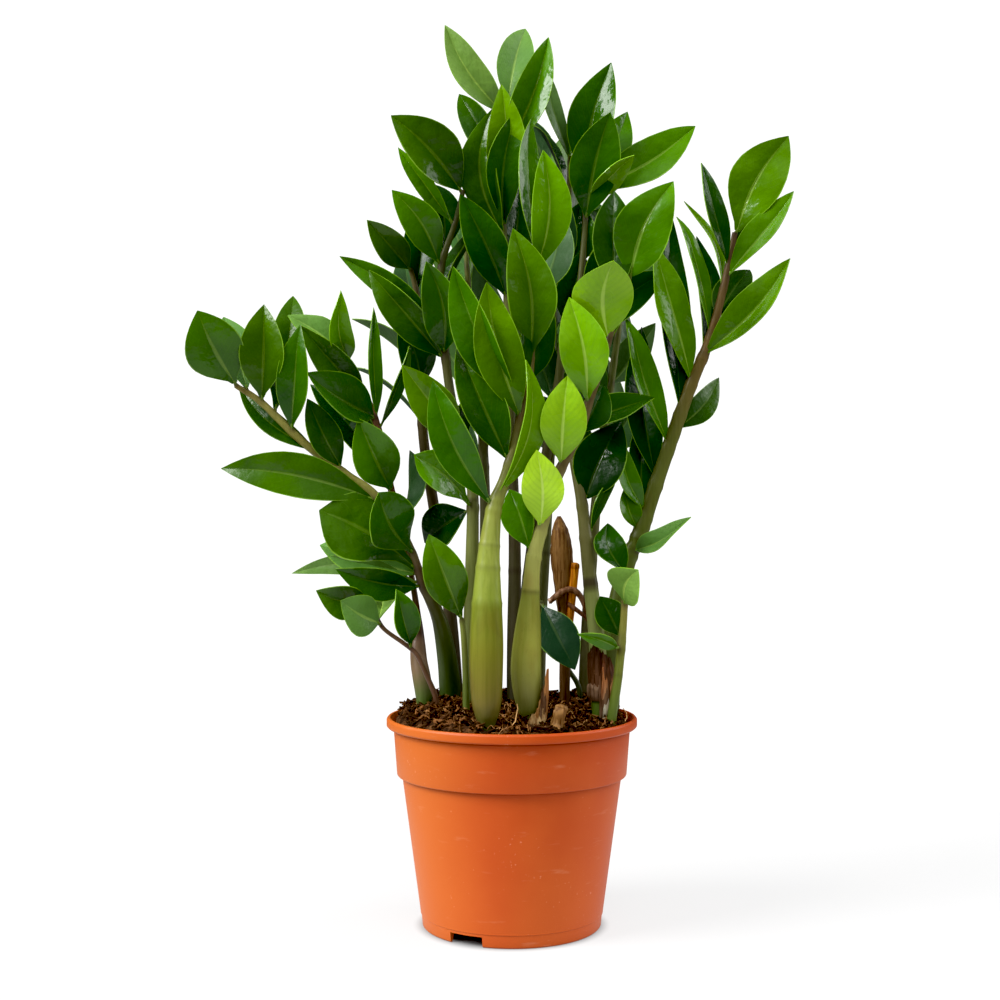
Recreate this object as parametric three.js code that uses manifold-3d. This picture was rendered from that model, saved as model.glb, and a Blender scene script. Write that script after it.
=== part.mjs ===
// A potted zz plant: a terracotta-coloured plastic nursery pot, filled with potting soil, with many
// thick-stemmed fronds of glossy leaflets, a few of them young or hidden, and some dry remains.
// Millimetres, +Z up. The origin is on the ground, at the middle of the pot's foot.

import * as THREE from "three";
import { mergeVertices } from "three/addons/utils/BufferGeometryUtils.js";
import Module from "manifold-3d";

const wasm = await Module();
wasm.setup();

// ---------------------------------------------------------------- driving dimensions

const pot = {
  rimRadius: 85,
  rimTop: 141.2,
  rimBottom: 133.5,
  bandTopRadius: 80.2,
  bandBottomRadius: 77.9,
  bandBottom: 102.6,
  bodyTopRadius: 74.4,
  bodyTop: 101.4,
  bodyBottomRadius: 61.7,
  footHeight: 7.6,
  footRadius: 60.7,
  wall: 1.6,
  floorDiscRadius: 30,
  channelHeight: 5,
  sectors: 32,
};

const drain = {
  holes: 8,
  holeRadius: 4,
  ringRadius: 45,
  notchWidth: 24,
  notchHeight: 5.2,
  notchTurn: -120, // degrees from +X, with a second notch opposite
};

const soil = { gap: 0.3, shoulder: 73, crownTop: 149.5, edgeTop: 141, bump: 1.5, sectors: 22, stemSink: 24 };

const blade = {
  thickness: 0.9,
  rootHalf: 1,
  fold: 20, // degrees that each half rises from flat
  arch: 0.06, // bulge of the midrib, as a share of the length
  stations: [0.32, 0.7],
  clearance: 0.35,
};

// The photograph's viewing point. Places of stems and leaflets are written as they show from here
// on the upright plane through the pot's axis, with their depth behind that plane beside them.
const eye = { across: -8, up: 288, distance: 1025 };

// How much nearer (-) or farther a leaflet's tip may be moved, in the order they are tried,
// until its blade crosses no other frond. The small ones are tried for its own frond's blades too.
const smallShifts = [0, -7, 7, -14, 14];
const depthShifts = [...smallShifts, -21, 21, -28, 28, -36, 36, -44, 44];

// Every stem row is [across, depth, up, radius], from the soil to the last leaflet. Every leaflet row
// is [height of its root on the stem, tip across, tip up, tip's depth beyond the root, width, turn, bend],
// where a turn of 0 shows the upper face to the viewer and the bend, if any, is sideways, as a share of
// the length.
const fronds = {
  frond_far_left: {
    stem: [
      [-42, 30, 159.7, 7.6], [-43.7, 27, 178, 7], [-47.5, 22, 200, 5.8], [-50.9, 19, 211, 4.9],
      [-55.5, 15, 221.5, 4.4], [-60.4, 12, 230, 3.3], [-66.9, 7, 250, 2.8], [-78, 4, 272, 2.8],
      [-95, 1, 293, 3.1], [-114, -1, 306, 3.1], [-144, -4, 329, 2.8], [-170, -6, 354, 2.3],
      [-188, -6, 366, 1.6],
    ],
    leaflets: [
      [229, -119, 240, -30, 27, -35], [232, -150, 238, 15, 18, -20, 0.1],
      [236, -131, 259.5, 26, 40, 20, -0.08], [240, -131, 281, -24, 62, 8, 0.03],
      [251, -92, 294, -42, 44, 8, -0.08], [270, -70, 322, 40, 32, 120],
      [288, -198, 310, -12, 36, -12, 0.04], [307, -139, 357, -20, 27, 12],
      [318, -186, 366, 20, 20, 10, -0.1], [334, -145, 407, -20, 29, -18, 0.03],
      [346, -149, 429, 40, 30, 5, 0.03], [354, -169, 421, -18, 36, 0, 0.02], [361, -196, 413, 28, 32, 20],
      [365.5, -214, 417, -28, 46, -6, -0.03],
    ],
  },
  frond_left: {
    stem: [
      [-60, -6, 146, 4.8], [-59.8, -5, 156, 6], [-61.3, -3, 167, 6.3], [-63.2, 0, 178, 5.9],
      [-63.8, 3, 189, 5.2], [-63.5, 8, 200, 3.4], [-64.4, 14, 211, 2.4], [-66.5, 20, 226, 2.1],
      [-69, 25, 240, 2.1], [-74, 27, 262, 2.3], [-82, 25, 295, 2.4], [-86, 23, 315, 2.4],
      [-92, 21, 340, 2.2], [-97, 20, 354, 2.1], [-111.5, 18, 382, 1.6],
    ],
    leaflets: [
      [293, -105, 344, -50, 38, 0, -0.02], [301, -137, 366, 30, 30, 10], [318, -118, 350, 38, 32, 120],
      [336, -68, 392, -6, 13, 60, -0.05], [342, -94, 419, 4, 13, 30],
      [343, -141, 374, -40, 38, 10, -0.07], [358, -144, 407, -24, 27, -20, -0.01],
      [380, -153, 413, -4, 30, 18, 0.05], [381.5, -116, 430, -32, 20, 20, -0.1],
    ],
  },
  frond_low_left: {
    stem: [
      [-51, -17, 150, 1.9], [-57.4, -18, 167.5, 1.7], [-63.8, -19, 181.4, 1.6], [-68.2, -19, 186.5, 1.5],
      [-75, -19, 191.5, 1.5], [-87.7, -18, 201, 1.4], [-94, -16, 213, 1.3], [-97, -14, 222, 1.1],
    ],
    leaflets: [
      [187, -78, 227, -14, 24, 30, -0.05], [203, -117, 219.5, -20, 34, 4, -0.06],
      [205, -96, 225, 30, 26, 10, 0.1], [220.5, -133, 226, -14, 28, -30, -0.09],
    ],
  },
  frond_short: {
    stem: [[-31, -24, 145, 2.3], [-31.5, -24, 170, 2.1], [-32.5, -24, 192, 2], [-34, -23, 207, 1.7]],
    leaflets: [[206, -56, 264, -15, 34, 0, -0.01]],
  },
  frond_inner_left: {
    stem: [
      [-28, 2, 150, 5.5], [-28, 4, 193, 5.2], [-27, 8, 247, 4.6], [-26.5, 12, 286, 4],
      [-28, 14, 302, 3.8], [-37, 16, 336, 3.4], [-44, 18, 376, 3.1], [-48, 18, 424, 2.7],
      [-47.5, 16, 449, 2.4], [-39, 14, 475, 2], [-33, 12, 499, 1.5],
    ],
    leaflets: [
      [282, -67, 319, -30, 35, 5], [283, -59, 259, 26, 36, 0], [330, -75, 380, -25, 34, -10],
      [383, -98, 444, -10, 30, -35], [386, -58, 451, -28, 34, -10, 0.08],
      [405, -116, 454, 4, 22, -30, 0.04], [420, -14, 480, 34, 32, -60], [445, -60, 492, 34, 25, 35],
      [447, -81.5, 499, -14, 30, -15, 0.075], [455, -53, 505, 34, 32, 20],
      [475, -78, 528, -4, 16, -30, 0.02], [497, -82, 550, -10, 42, -5, 0.03],
    ],
  },
  frond_left_back: {
    stem: [
      [-38, 56, 158, 5], [-43, 58, 220, 4.6], [-53, 54, 283, 4], [-60, 50, 329, 3.6], [-62, 48, 370, 3.2],
      [-64, 46, 411, 2.8], [-65, 45, 430, 2.2], [-69, 44, 446, 1.6],
    ],
    leaflets: [
      [312, -30, 366, 38, 32, 70], [340, -109, 380, 24, 28, 75], [360, -76, 412, -20, 34, 20],
      [375, -109, 411, 14, 28, 80], [392, -38, 446, 40, 32, -70], [405, -73, 453, 24, 28, 20],
      [429, -56, 488, 22, 32, 0], [444, -99, 479, -28, 26, -20],
    ],
  },
  frond_front_left: {
    stem: [
      [-17, -62, 132, 5], [-17, -62, 142, 7.8], [-17.2, -62, 153, 9.8], [-17.4, -61, 174, 10.8],
      [-17.2, -60, 192, 10.8], [-17, -58.5, 213, 9.9], [-16, -56, 246, 7.5], [-14, -54, 268, 6],
      [-11.4, -52, 285, 4.8], [-4.6, -50, 302, 4], [1, -48, 322, 3.5], [4.3, -47, 336, 3.3],
      [11.7, -44, 370, 2.9], [15, -42, 404, 2.5], [16, -40, 431, 2.1], [15, -38, 458, 1.6],
    ],
    leaflets: [
      [281, -54, 369, -12, 31, -15, -0.05], [288, 11, 383, -15, 24, 45, 0.1], [312, -37, 394, 12, 34, 0],
      [342, -17.5, 436, -10, 37, 0, -0.04], [350, -39, 447, -4, 33, -35, -0.03],
      [365, 22, 428, 10, 32, 30], [384, 1, 473, -12, 38, 0, 0.06], [424, 34, 484, 32, 30, 150],
      [440.5, 21, 526, -12, 32, 15, 0.07], [456, 10.4, 546, 10, 26, 40, -0.08],
    ],
  },
  frond_centre: {
    stem: [
      [1.5, 12, 152, 5], [1.5, 14, 193, 4.8], [2, 18, 257, 4.2], [0, 20, 322, 3.6], [-2, 20, 376, 3.3],
      [-2.6, 18, 424, 3], [-6, 16, 472, 2.6], [-6, 16, 513, 2.2], [-4, 16, 547, 1.8],
      [-2.6, 16, 562, 1.4],
    ],
    leaflets: [
      [372, 14, 440, 40, 32, 150], [398, -24, 458, 46, 32, -150], [424, -35, 496, -18, 33, -10, 0.02],
      [436, 5, 503, 34, 30, 20], [448, 20, 512, 44, 32, 120], [466, -14, 555, -8, 33, -20, -0.12],
      [472, 3.6, 553.6, -14, 29, 10, -0.065], [500, -18, 546, 46, 30, -120],
      [495, -7, 571, -16, 32, 0, 0.04], [515, -36, 564.5, 25, 25, -30], [530, 14, 578, 36, 30, 150],
      [520, 25, 603, -5, 29, 5, 0.05], [548, -45.5, 611, -5, 27, -8, -0.07],
      [556, 9.7, 610, 28, 30, 10, -0.03],
    ],
  },
  frond_centre_right: {
    stem: [
      [6, 34, 158, 5], [8, 36, 200, 4.7], [14, 38, 257, 4.2], [24, 38, 322, 3.7], [32, 36, 370, 3.3],
      [36, 34, 410, 3], [38, 32, 450, 2.6], [39, 30, 490, 2.1], [39.5, 28, 522, 1.5],
    ],
    leaflets: [
      [352, 2, 408, 40, 32, 140], [390, 66, 440, 40, 34, -140], [405, 48, 458, -22, 30, 0],
      [438, 46.5, 490, -30, 36, -5, 0.03], [446, 62, 486, 20, 30, 10],
      [444, 31, 504, -10, 29, -10, -0.03], [470, 62, 530, 38, 32, -120],
      [485, 14, 546, 42, 18, 60, -0.02], [518, 60, 570, 34, 30, -60], [518, 18, 591, -4, 16, 20, -0.05],
    ],
  },
  frond_front_right: {
    stem: [
      [12.4, -40, 137, 5], [11.6, -40, 146, 7.4], [10.4, -40, 159, 9.4], [9.7, -40, 176, 10],
      [11, -40, 199.5, 8.6], [13, -40, 226.7, 5.8], [15, -40, 248.5, 4.9], [20, -41, 267.6, 4.1],
      [26, -43, 288, 3.7], [33, -45, 308.4, 3.4], [46.5, -47, 335.7, 3.1], [53, -49, 356, 2.8],
      [60, -50, 376.5, 2.6], [65, -51, 393.6, 2.3], [72, -52, 417.4, 2], [80, -52, 439, 1.5],
    ],
    leaflets: [
      [249, -1, 295, 15, 28, -30], [266, 17, 322, -20, 33, 0], [309, 38, 372, -16, 36, 5],
      [330, 62, 366, 24, 26, 30], [353, 39, 426, -14, 35, -5, 0.06], [376, 84, 428, 30, 30, -60],
      [395, 69, 451, -25, 52, 0, -0.06], [418, 69.5, 498, 10, 33, 0], [438, 110, 505, -8, 43, 4, -0.07],
    ],
  },
  frond_right_inner: {
    stem: [
      [60, -20, 152, 6], [58, -18, 192, 5.7], [52.6, -14, 240, 4.8], [48, -8, 284, 4], [43, -2, 313, 3.6],
      [40, 4, 336, 3.4], [40, 10, 363, 3.2], [43, 16, 397, 2.9], [47, 20, 438, 2.5], [50, 22, 479, 2.1],
      [49, 22, 513, 1.5],
    ],
    leaflets: [
      [262, 72, 304, 10, 10, 30, -0.1], [284, 74, 341, 15, 42, 0, -0.02],
      [337, 97, 357.5, -15, 30, -22, 0.04], [346, 64, 364, 24, 28, 0], [400, 104, 443, 20, 34, 10],
      [425, 92, 480, 40, 32, 10], [478, 67, 552, -20, 41, 5, -0.03], [490, 83, 524, -25, 20, 55, -0.04],
      [495, 78.5, 551, 25, 32, 0, 0.04], [496, 125, 542, 0, 38, -5, 0.09],
      [504, 68, 585, -5, 38, -5, -0.045],
    ],
  },
  frond_right_arch: {
    stem: [
      [67, 2, 152, 6.5], [68, 4, 192.7, 6.3], [72, 6, 220, 6], [80.5, 8, 251, 5.6], [86, 8, 262, 5.4],
      [101.6, 10, 309, 5], [121, 10, 363.6, 4.3], [134, 8, 395.6, 3.4], [144.5, 6, 433.7, 2.6],
      [152, 4, 470, 1.8],
    ],
    leaflets: [
      [250, 121, 277, -26, 19, -24, 0.13], [262, 76.5, 297.5, -2, 19, 20, -0.07],
      [276, 75, 328, -4, 18, 15, -0.11], [270, 93, 352, 26, 22, 0], [298, 88, 404, 32, 30, 0],
      [322, 80, 413, -4, 26, 30, -0.09], [333, 140.5, 371, 30, 22, 20, 0.05], [345, 106, 480, 34, 28, 20],
      [366, 96, 462, -8, 33, 25], [384, 190, 452, -18, 31, -20, 0.1], [398, 115, 482, 6, 18, 40, -0.03],
      [385, 124, 466, 32, 24, 30], [408, 162, 445, 30, 29, -20], [432, 115.5, 490, 15, 13, 40, 0.12],
      [438, 193, 497, -12, 26, -24, 0.05], [445, 129, 517.5, -5, 24, 35, -0.07],
      [450, 181, 492, 20, 27, 0], [468, 188, 535, -5, 44, 5, -0.06],
    ],
  },
  frond_low_right: {
    stem: [
      [68, -30, 138, 3.2], [72, -30, 165, 3], [75, -28, 192.7, 2.7], [77, -26, 220, 2.1],
      [77, -24, 237, 1.5],
    ],
    leaflets: [
      [187, 44.5, 197, -20, 15, -40], [192, 60, 222, 24, 26, 0], [217, 86, 240.5, -32, 34, -25, -0.12],
      [236, 65, 271, 24, 26, 10, -0.13],
    ],
  },
  frond_hanging: {
    stem: [
      [46, 28, 158.6, 1.9], [39, 26, 172, 1.7], [30, 20, 186, 1.6], [22, 10, 202, 1.5], [20, 0, 219, 1.4],
    ],
    leaflets: [[218, 43, 173, -22, 33, 0]],
  },
  frond_rear_left: {
    stem: [
      [-20, 58, 158, 5], [-19, 66, 215, 4.6], [-18, 76, 275, 4], [-20, 84, 335, 3.4], [-25, 88, 395, 2.8],
      [-30, 90, 440, 2], [-31, 91, 462, 1.5],
    ],
    rows: { from: 310, to: 460, count: 11, spread: 30, rise: 48, width: 32, seed: 17 },
  },
  frond_rear: {
    stem: [
      [18, 62, 158, 5], [20, 68, 215, 4.6], [24, 76, 280, 4], [27, 82, 345, 3.4], [28, 88, 410, 2.8],
      [27, 92, 470, 2.1], [25, 94, 515, 1.5],
    ],
    rows: { from: 320, to: 512, count: 13, spread: 34, rise: 48, width: 32, seed: 47 },
  },
  frond_rear_right: {
    stem: [
      [50, 46, 158, 5], [52, 54, 210, 4.6], [56, 62, 270, 4], [62, 70, 330, 3.4], [70, 78, 385, 2.6],
      [76, 84, 430, 1.9], [78, 86, 448, 1.5],
    ],
    rows: { from: 300, to: 446, count: 10, spread: 28, rise: 48, width: 32, seed: 37 },
  },
};

// ---------------------------------------------------------------- solids and geometry

function toSolid(geometry) {
  const bare = geometry.clone();
  bare.deleteAttribute("normal");
  bare.deleteAttribute("uv");
  const merged = mergeVertices(bare, 1e-4);
  const vertProperties = new Float32Array(merged.attributes.position.array);
  const triVerts = new Uint32Array(merged.index.array);
  return new wasm.Manifold(new wasm.Mesh({ numProp: 3, vertProperties, triVerts }));
}

function toGeometry(solid) {
  const mesh = solid.getMesh();
  const geometry = new THREE.BufferGeometry();
  geometry.setAttribute("position", new THREE.BufferAttribute(new Float32Array(mesh.vertProperties), 3));
  geometry.setIndex(new THREE.BufferAttribute(new Uint32Array(mesh.triVerts), 1));
  geometry.computeVertexNormals();
  return geometry;
}

function fromFaces(points, faces) {
  const geometry = new THREE.BufferGeometry();
  const coordinates = points.flatMap((point) => point.toArray());
  geometry.setAttribute("position", new THREE.Float32BufferAttribute(coordinates, 3));
  geometry.setIndex(faces.flat());
  return geometry;
}

function joined(solids) {
  return solids.reduce((sum, piece) => sum.add(piece));
}

function quad(a, b, c, d) {
  return [[a, b, c], [a, c, d]];
}

// A body of revolution about +Z from a closed profile of [radius, height] points.
function turned(profile, sectors) {
  const geometry = new THREE.LatheGeometry(profile.map(([r, z]) => new THREE.Vector2(r, z)), sectors);
  geometry.rotateX(Math.PI / 2);
  return toSolid(geometry);
}

// Moves a place that is written as it shows from the front along the line of sight to its depth.
function place(shown) {
  const spread = (eye.distance + shown.y) / eye.distance;
  return new THREE.Vector3(
    eye.across + (shown.x - eye.across) * spread,
    shown.y,
    eye.up + (shown.z - eye.up) * spread,
  );
}

// A stem's smooth route, still as it shows from the front, with its sunk foot added.
function routeOf(stem, sink = soil.stemSink) {
  const [across, depth, up, radius] = stem[0];
  const rows = [[across, depth, up - sink, radius * 0.8], ...stem];
  const points = rows.map(([x, y, z]) => new THREE.Vector3(x, y, z));
  const curve = new THREE.CatmullRomCurve3(points, false, "catmullrom", 0.5);
  return { curve, radii: rows.map((row) => row[3]) };
}

function radiusAt(radii, share) {
  const at = share * (radii.length - 1);
  const below = Math.min(Math.floor(at), radii.length - 2);
  return THREE.MathUtils.lerp(radii[below], radii[below + 1], at - below);
}

// The point of a route that shows at a given height.
function pointAtHeight(curve, height) {
  let low = 0;
  let high = 1;
  for (let i = 0; i < 30; i += 1) {
    const middle = (low + high) / 2;
    if (curve.getPoint(middle).z < height) low = middle;
    else high = middle;
  }
  return curve.getPoint(low);
}

// A closed round tube along a route; grow makes it fatter all over.
function tube({ curve, radii }, sides, steps, grow = 0) {
  const points = [];
  const faces = [];
  const across = new THREE.Vector3(0, 1, 0);
  for (let i = 0; i <= steps; i += 1) {
    const share = i / steps;
    const centre = place(curve.getPoint(share));
    const tangent = curve.getTangent(share);
    const sideways = new THREE.Vector3().crossVectors(across, tangent).normalize();
    const outward = new THREE.Vector3().crossVectors(tangent, sideways);
    const radius = radiusAt(radii, share) + grow;
    for (let j = 0; j < sides; j += 1) {
      const angle = (2 * Math.PI * j) / sides;
      const point = centre.clone();
      point.addScaledVector(sideways, radius * Math.cos(angle));
      point.addScaledVector(outward, radius * Math.sin(angle));
      points.push(point);
      const next = (j + 1) % sides;
      const row = i * sides;
      if (i < steps) faces.push(...quad(row + j, row + next, row + sides + next, row + sides + j));
    }
  }
  const last = steps * sides;
  for (let j = 1; j < sides - 1; j += 1) {
    faces.push([0, j + 1, j]);
    faces.push([last, last + j, last + j + 1]);
  }
  return toSolid(fromFaces(points, faces));
}

// A frond's stem, with more sides where it is stout.
function stemTube(route, grow = 0) {
  const stout = Math.max(...route.radii) > 6;
  return tube(route, stout ? 8 : 6, route.radii.length, grow);
}

// Half the blade's width at a share of its length: a wedge at the root, widest past the middle,
// and drawn out to a point.
function halfWidth(share) {
  return Math.sin(Math.PI * share ** 1.12) ** 0.85;
}

// A leaflet from a point inside the stem to its tip: folded along its midrib, arched and maybe bent.
function leaflet(root, tip, width, turn, bend, thickness) {
  const along = new THREE.Vector3().subVectors(tip, root);
  const length = along.length();
  along.normalize();
  const face = new THREE.Vector3(0, -1, 0.35);
  face.addScaledVector(along, -face.dot(along)).normalize();
  face.applyAxisAngle(along, THREE.MathUtils.degToRad(turn));
  const side = new THREE.Vector3().crossVectors(along, face);
  const fold = THREE.MathUtils.degToRad(blade.fold);

  // The root end is a plain strip: top left, top right, bottom right, bottom left.
  const points = [[-1, 1], [1, 1], [1, -1], [-1, -1]].map(([edge, skin]) => {
    const corner = root.clone().addScaledVector(side, edge * blade.rootHalf);
    return corner.addScaledVector(face, (skin * thickness) / 2);
  });
  // Each station holds: top left, top middle, top right, bottom right, bottom middle, bottom left.
  for (const share of blade.stations) {
    const half = (width / 2) * halfWidth(share);
    const middle = root.clone().addScaledVector(along, length * share);
    middle.addScaledVector(face, blade.arch * length * 4 * share * (1 - share));
    middle.addScaledVector(side, bend * length * Math.sin(Math.PI * share));
    for (const [edge, skin] of [[-1, 1], [0, 1], [1, 1], [1, -1], [0, -1], [-1, -1]]) {
      const point = middle.clone().addScaledVector(side, edge * half * Math.cos(fold));
      point.addScaledVector(face, Math.abs(edge) * half * Math.sin(fold) + (skin * thickness) / 2);
      points.push(point);
    }
  }
  points.push(tip);

  const faces = [
    ...quad(0, 3, 2, 1), [0, 1, 5], [0, 5, 4], [1, 6, 5], [3, 9, 8], [3, 8, 2], [2, 8, 7],
    ...quad(3, 0, 4, 9), ...quad(1, 2, 7, 6),
  ];
  const stations = blade.stations.length;
  for (let i = 0; i < stations - 1; i += 1) {
    const [tl, tm, tr, br, bm, bl] = [4, 5, 6, 7, 8, 9].map((k) => 6 * i + k);
    faces.push(...quad(tm, tm + 6, tl + 6, tl), ...quad(tm, tr, tr + 6, tm + 6));
    faces.push(...quad(bm, bl, bl + 6, bm + 6), ...quad(bm, bm + 6, br + 6, br));
    faces.push(...quad(bl, tl, tl + 6, bl + 6), ...quad(tr, br, br + 6, tr + 6));
  }
  const last = 4 + 6 * (stations - 1);
  for (let k = 0; k < 6; k += 1) faces.push([last + k, last + ((k + 1) % 6), points.length - 1]);
  return toSolid(fromFaces(points, faces));
}

// ---------------------------------------------------------------- pot and soil

function potSolid() {
  const p = pot;
  const outside = [
    [0, 0], [p.floorDiscRadius, 0], [p.floorDiscRadius + 2.5, p.channelHeight],
    [p.footRadius - 4, p.channelHeight], [p.footRadius - 2.2, 0], [p.footRadius, 0],
    [p.footRadius + 0.5, p.footHeight - 0.8], [p.bodyBottomRadius, p.footHeight],
    [p.bodyTopRadius, p.bodyTop], [p.bandBottomRadius - 0.4, p.bandBottom - 0.9],
    [p.bandBottomRadius, p.bandBottom],
    [p.bandTopRadius, p.rimBottom - 1.5], [p.rimRadius, p.rimBottom + 0.4],
    [p.rimRadius, p.rimTop - 1.6], [p.rimRadius - 1.6, p.rimTop],
  ];
  const inside = [
    [p.rimRadius - 3.4, p.rimTop], [p.bandTopRadius - p.wall, p.rimBottom - 1],
    [p.bandBottomRadius - p.wall, p.bandBottom + p.wall], [p.bodyTopRadius - p.wall, p.bodyTop + p.wall],
    [p.bodyBottomRadius - p.wall, p.channelHeight + p.wall],
    [p.floorDiscRadius + 1, p.channelHeight + p.wall], [p.floorDiscRadius - 1.5, p.wall], [0, p.wall],
  ];
  let solid = turned([...outside, ...inside], p.sectors);
  for (let i = 0; i < drain.holes; i += 1) {
    const hole = new THREE.CylinderGeometry(drain.holeRadius, drain.holeRadius, 4 * p.wall, 8);
    hole.rotateX(Math.PI / 2);
    hole.translate(drain.ringRadius, 0, p.channelHeight + p.wall / 2);
    hole.rotateZ((2 * Math.PI * (i + 0.5)) / drain.holes);
    solid = solid.subtract(toSolid(hole));
  }
  for (const side of [0, 180]) {
    const notch = new THREE.BoxGeometry(12, drain.notchWidth, 2 * drain.notchHeight);
    notch.translate(p.footRadius - 1, 0, 0);
    notch.rotateZ(THREE.MathUtils.degToRad(drain.notchTurn + side));
    solid = solid.subtract(toSolid(notch));
  }
  return solid;
}

// Height of the soil's crumbly crown at a radius and an angle.
function soilTop(radius, angle) {
  const s = soil;
  const fall = THREE.MathUtils.smoothstep(radius, s.shoulder, pot.rimRadius - 4);
  const crumbs = Math.sin(3 * angle + 0.8) * Math.sin(radius / 9)
    + 0.8 * Math.sin(7 * angle + radius / 7) + 0.6 * Math.sin(11 * angle - radius / 5);
  const level = THREE.MathUtils.lerp(s.crownTop, s.edgeTop, fall) - 3 * Math.max(0, -Math.sin(angle));
  return level + s.bump * crumbs * Math.min(radius / 30, 1) * (1 - fall);
}

function soilSolid() {
  const p = pot;
  const g = soil.gap;
  const flatness = p.rimRadius * (1 - Math.cos(Math.PI / p.sectors)); // of the pot's flats, inwards
  const wall = p.wall + g + flatness;
  const rings = [20, 42, 62, 73];
  const sides = [
    [p.bandTopRadius - wall, p.rimBottom + 3], [p.bandTopRadius - wall - 0.2, p.rimBottom - 2],
    [p.bandBottomRadius - wall, p.bandBottom + p.wall + g], [p.bodyTopRadius - wall, p.bodyTop + p.wall + g],
    [p.bodyBottomRadius - wall, p.channelHeight + p.wall + g],
    [p.floorDiscRadius + 1 - 2 * g, p.channelHeight + p.wall + g],
    [p.floorDiscRadius - 1.5 - 4 * g, p.wall + g],
  ];
  const points = [new THREE.Vector3(0, 0, soil.crownTop)];
  const faces = [];
  const count = soil.sectors;
  const addRing = (radius, heightAt) => {
    for (let j = 0; j < count; j += 1) {
      const angle = (2 * Math.PI * j) / count;
      points.push(new THREE.Vector3(radius * Math.cos(angle), radius * Math.sin(angle), heightAt(angle)));
    }
  };
  for (const radius of rings) addRing(radius, (angle) => soilTop(radius, angle));
  for (const [radius, height] of sides) addRing(radius, () => height);
  points.push(new THREE.Vector3(0, 0, p.wall + g));
  const ringCount = rings.length + sides.length;
  const lastRing = 1 + (ringCount - 1) * count;
  for (let j = 0; j < count; j += 1) {
    const next = (j + 1) % count;
    faces.push([0, 1 + j, 1 + next]);
    for (let i = 0; i < ringCount - 1; i += 1) {
      const row = 1 + i * count;
      faces.push(...quad(row + j, row + count + j, row + count + next, row + next));
    }
    faces.push([lastRing + next, lastRing + j, points.length - 1]);
  }
  return toSolid(fromFaces(points, faces));
}

// ---------------------------------------------------------------- dry remains

// A short dead cane with its withered top, an orange stub and a curled dry stalk.
const dryRoutes = {
  cane: {
    stem: [
      [36, 12, 150, 3.6], [36, 12, 190, 3.9], [34.5, 12, 222, 4.8], [33.5, 12, 240, 7.0],
      [32.5, 12, 256, 7.6], [31.5, 12, 270, 5.6], [31, 12, 279, 1.4],
    ],
    sink: 20,
    steps: 8,
  },
  orangeStub: { stem: [[39.5, 10, 200, 3], [41.5, 9, 222, 3.3], [43, 8, 243.5, 3.5]], sink: 6, steps: 3 },
  curledStalk: {
    stem: [
      [50.5, 8, 212, 1.6], [48.5, 7, 220, 2], [43.5, 6, 226.5, 2.2], [36, 5, 227.5, 2.1],
      [29, 5, 224.5, 1.8], [24, 5, 220.5, 1.6],
    ],
    sink: 3,
    steps: 7,
  },
  lowerCurl: { stem: [[50, 6, 209, 1.6], [44, 6, 213.5, 1.7], [37.5, 7, 218, 1.6]], sink: 2, steps: 3 },
};

function dryCane(grow = 0) {
  const pieces = Object.values(dryRoutes);
  return joined(pieces.map(({ stem, sink, steps }) => tube(routeOf(stem, sink), 6, steps, grow)));
}

// A dry sheet of husk that wraps part of a stem, with a torn upper edge.
function husk({ across, depth, radius, from, to, bottom, top, flare }, grow = 0) {
  const thickness = 0.8 + 2 * grow;
  const margin = THREE.MathUtils.radToDeg(grow / radius);
  const base = place(new THREE.Vector3(across, depth, bottom - grow));
  const columns = 6;
  const rows = 3;
  const points = [];
  const turn = (share) => THREE.MathUtils.degToRad(THREE.MathUtils.lerp(from - margin, to + margin, share));
  for (const skin of [1, -1]) {
    for (let j = 0; j <= rows; j += 1) {
      for (let i = 0; i <= columns; i += 1) {
        const angle = turn(i / columns);
        const rise = (j / rows) * (1 - 0.3 * Math.sin(3.4 * i + 1) ** 2);
        const reach = radius + flare * rise * rise + (skin * thickness) / 2;
        const height = base.z + (top - bottom) * rise;
        const outward = new THREE.Vector3(Math.cos(angle), Math.sin(angle), 0);
        points.push(new THREE.Vector3(base.x, base.y, height).addScaledVector(outward, reach));
      }
    }
  }
  const wide = columns + 1;
  const back = wide * (rows + 1);
  const faces = [];
  for (let j = 0; j < rows; j += 1) {
    for (let i = 0; i < columns; i += 1) {
      const a = j * wide + i;
      faces.push(...quad(a, a + 1, a + wide + 1, a + wide));
      faces.push(...quad(back + a, back + a + wide, back + a + wide + 1, back + a + 1));
    }
  }
  const rim = [];
  for (let i = 0; i < columns; i += 1) rim.push(i);
  for (let j = 0; j < rows; j += 1) rim.push(j * wide + columns);
  for (let i = columns; i > 0; i -= 1) rim.push(rows * wide + i);
  for (let j = rows; j > 0; j -= 1) rim.push(j * wide);
  rim.forEach((a, k) => {
    const b = rim[(k + 1) % rim.length];
    faces.push(...quad(a, back + a, back + b, b));
  });
  return toSolid(fromFaces(points, faces));
}

// ---------------------------------------------------------------- the plant

// A repeatable draw: each call gives the next number from -1 to 1.
function draws(seed) {
  let state = seed;
  return () => {
    state = (state * 16807) % 2147483647;
    return (2 * state) / 2147483647 - 1;
  };
}

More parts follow.
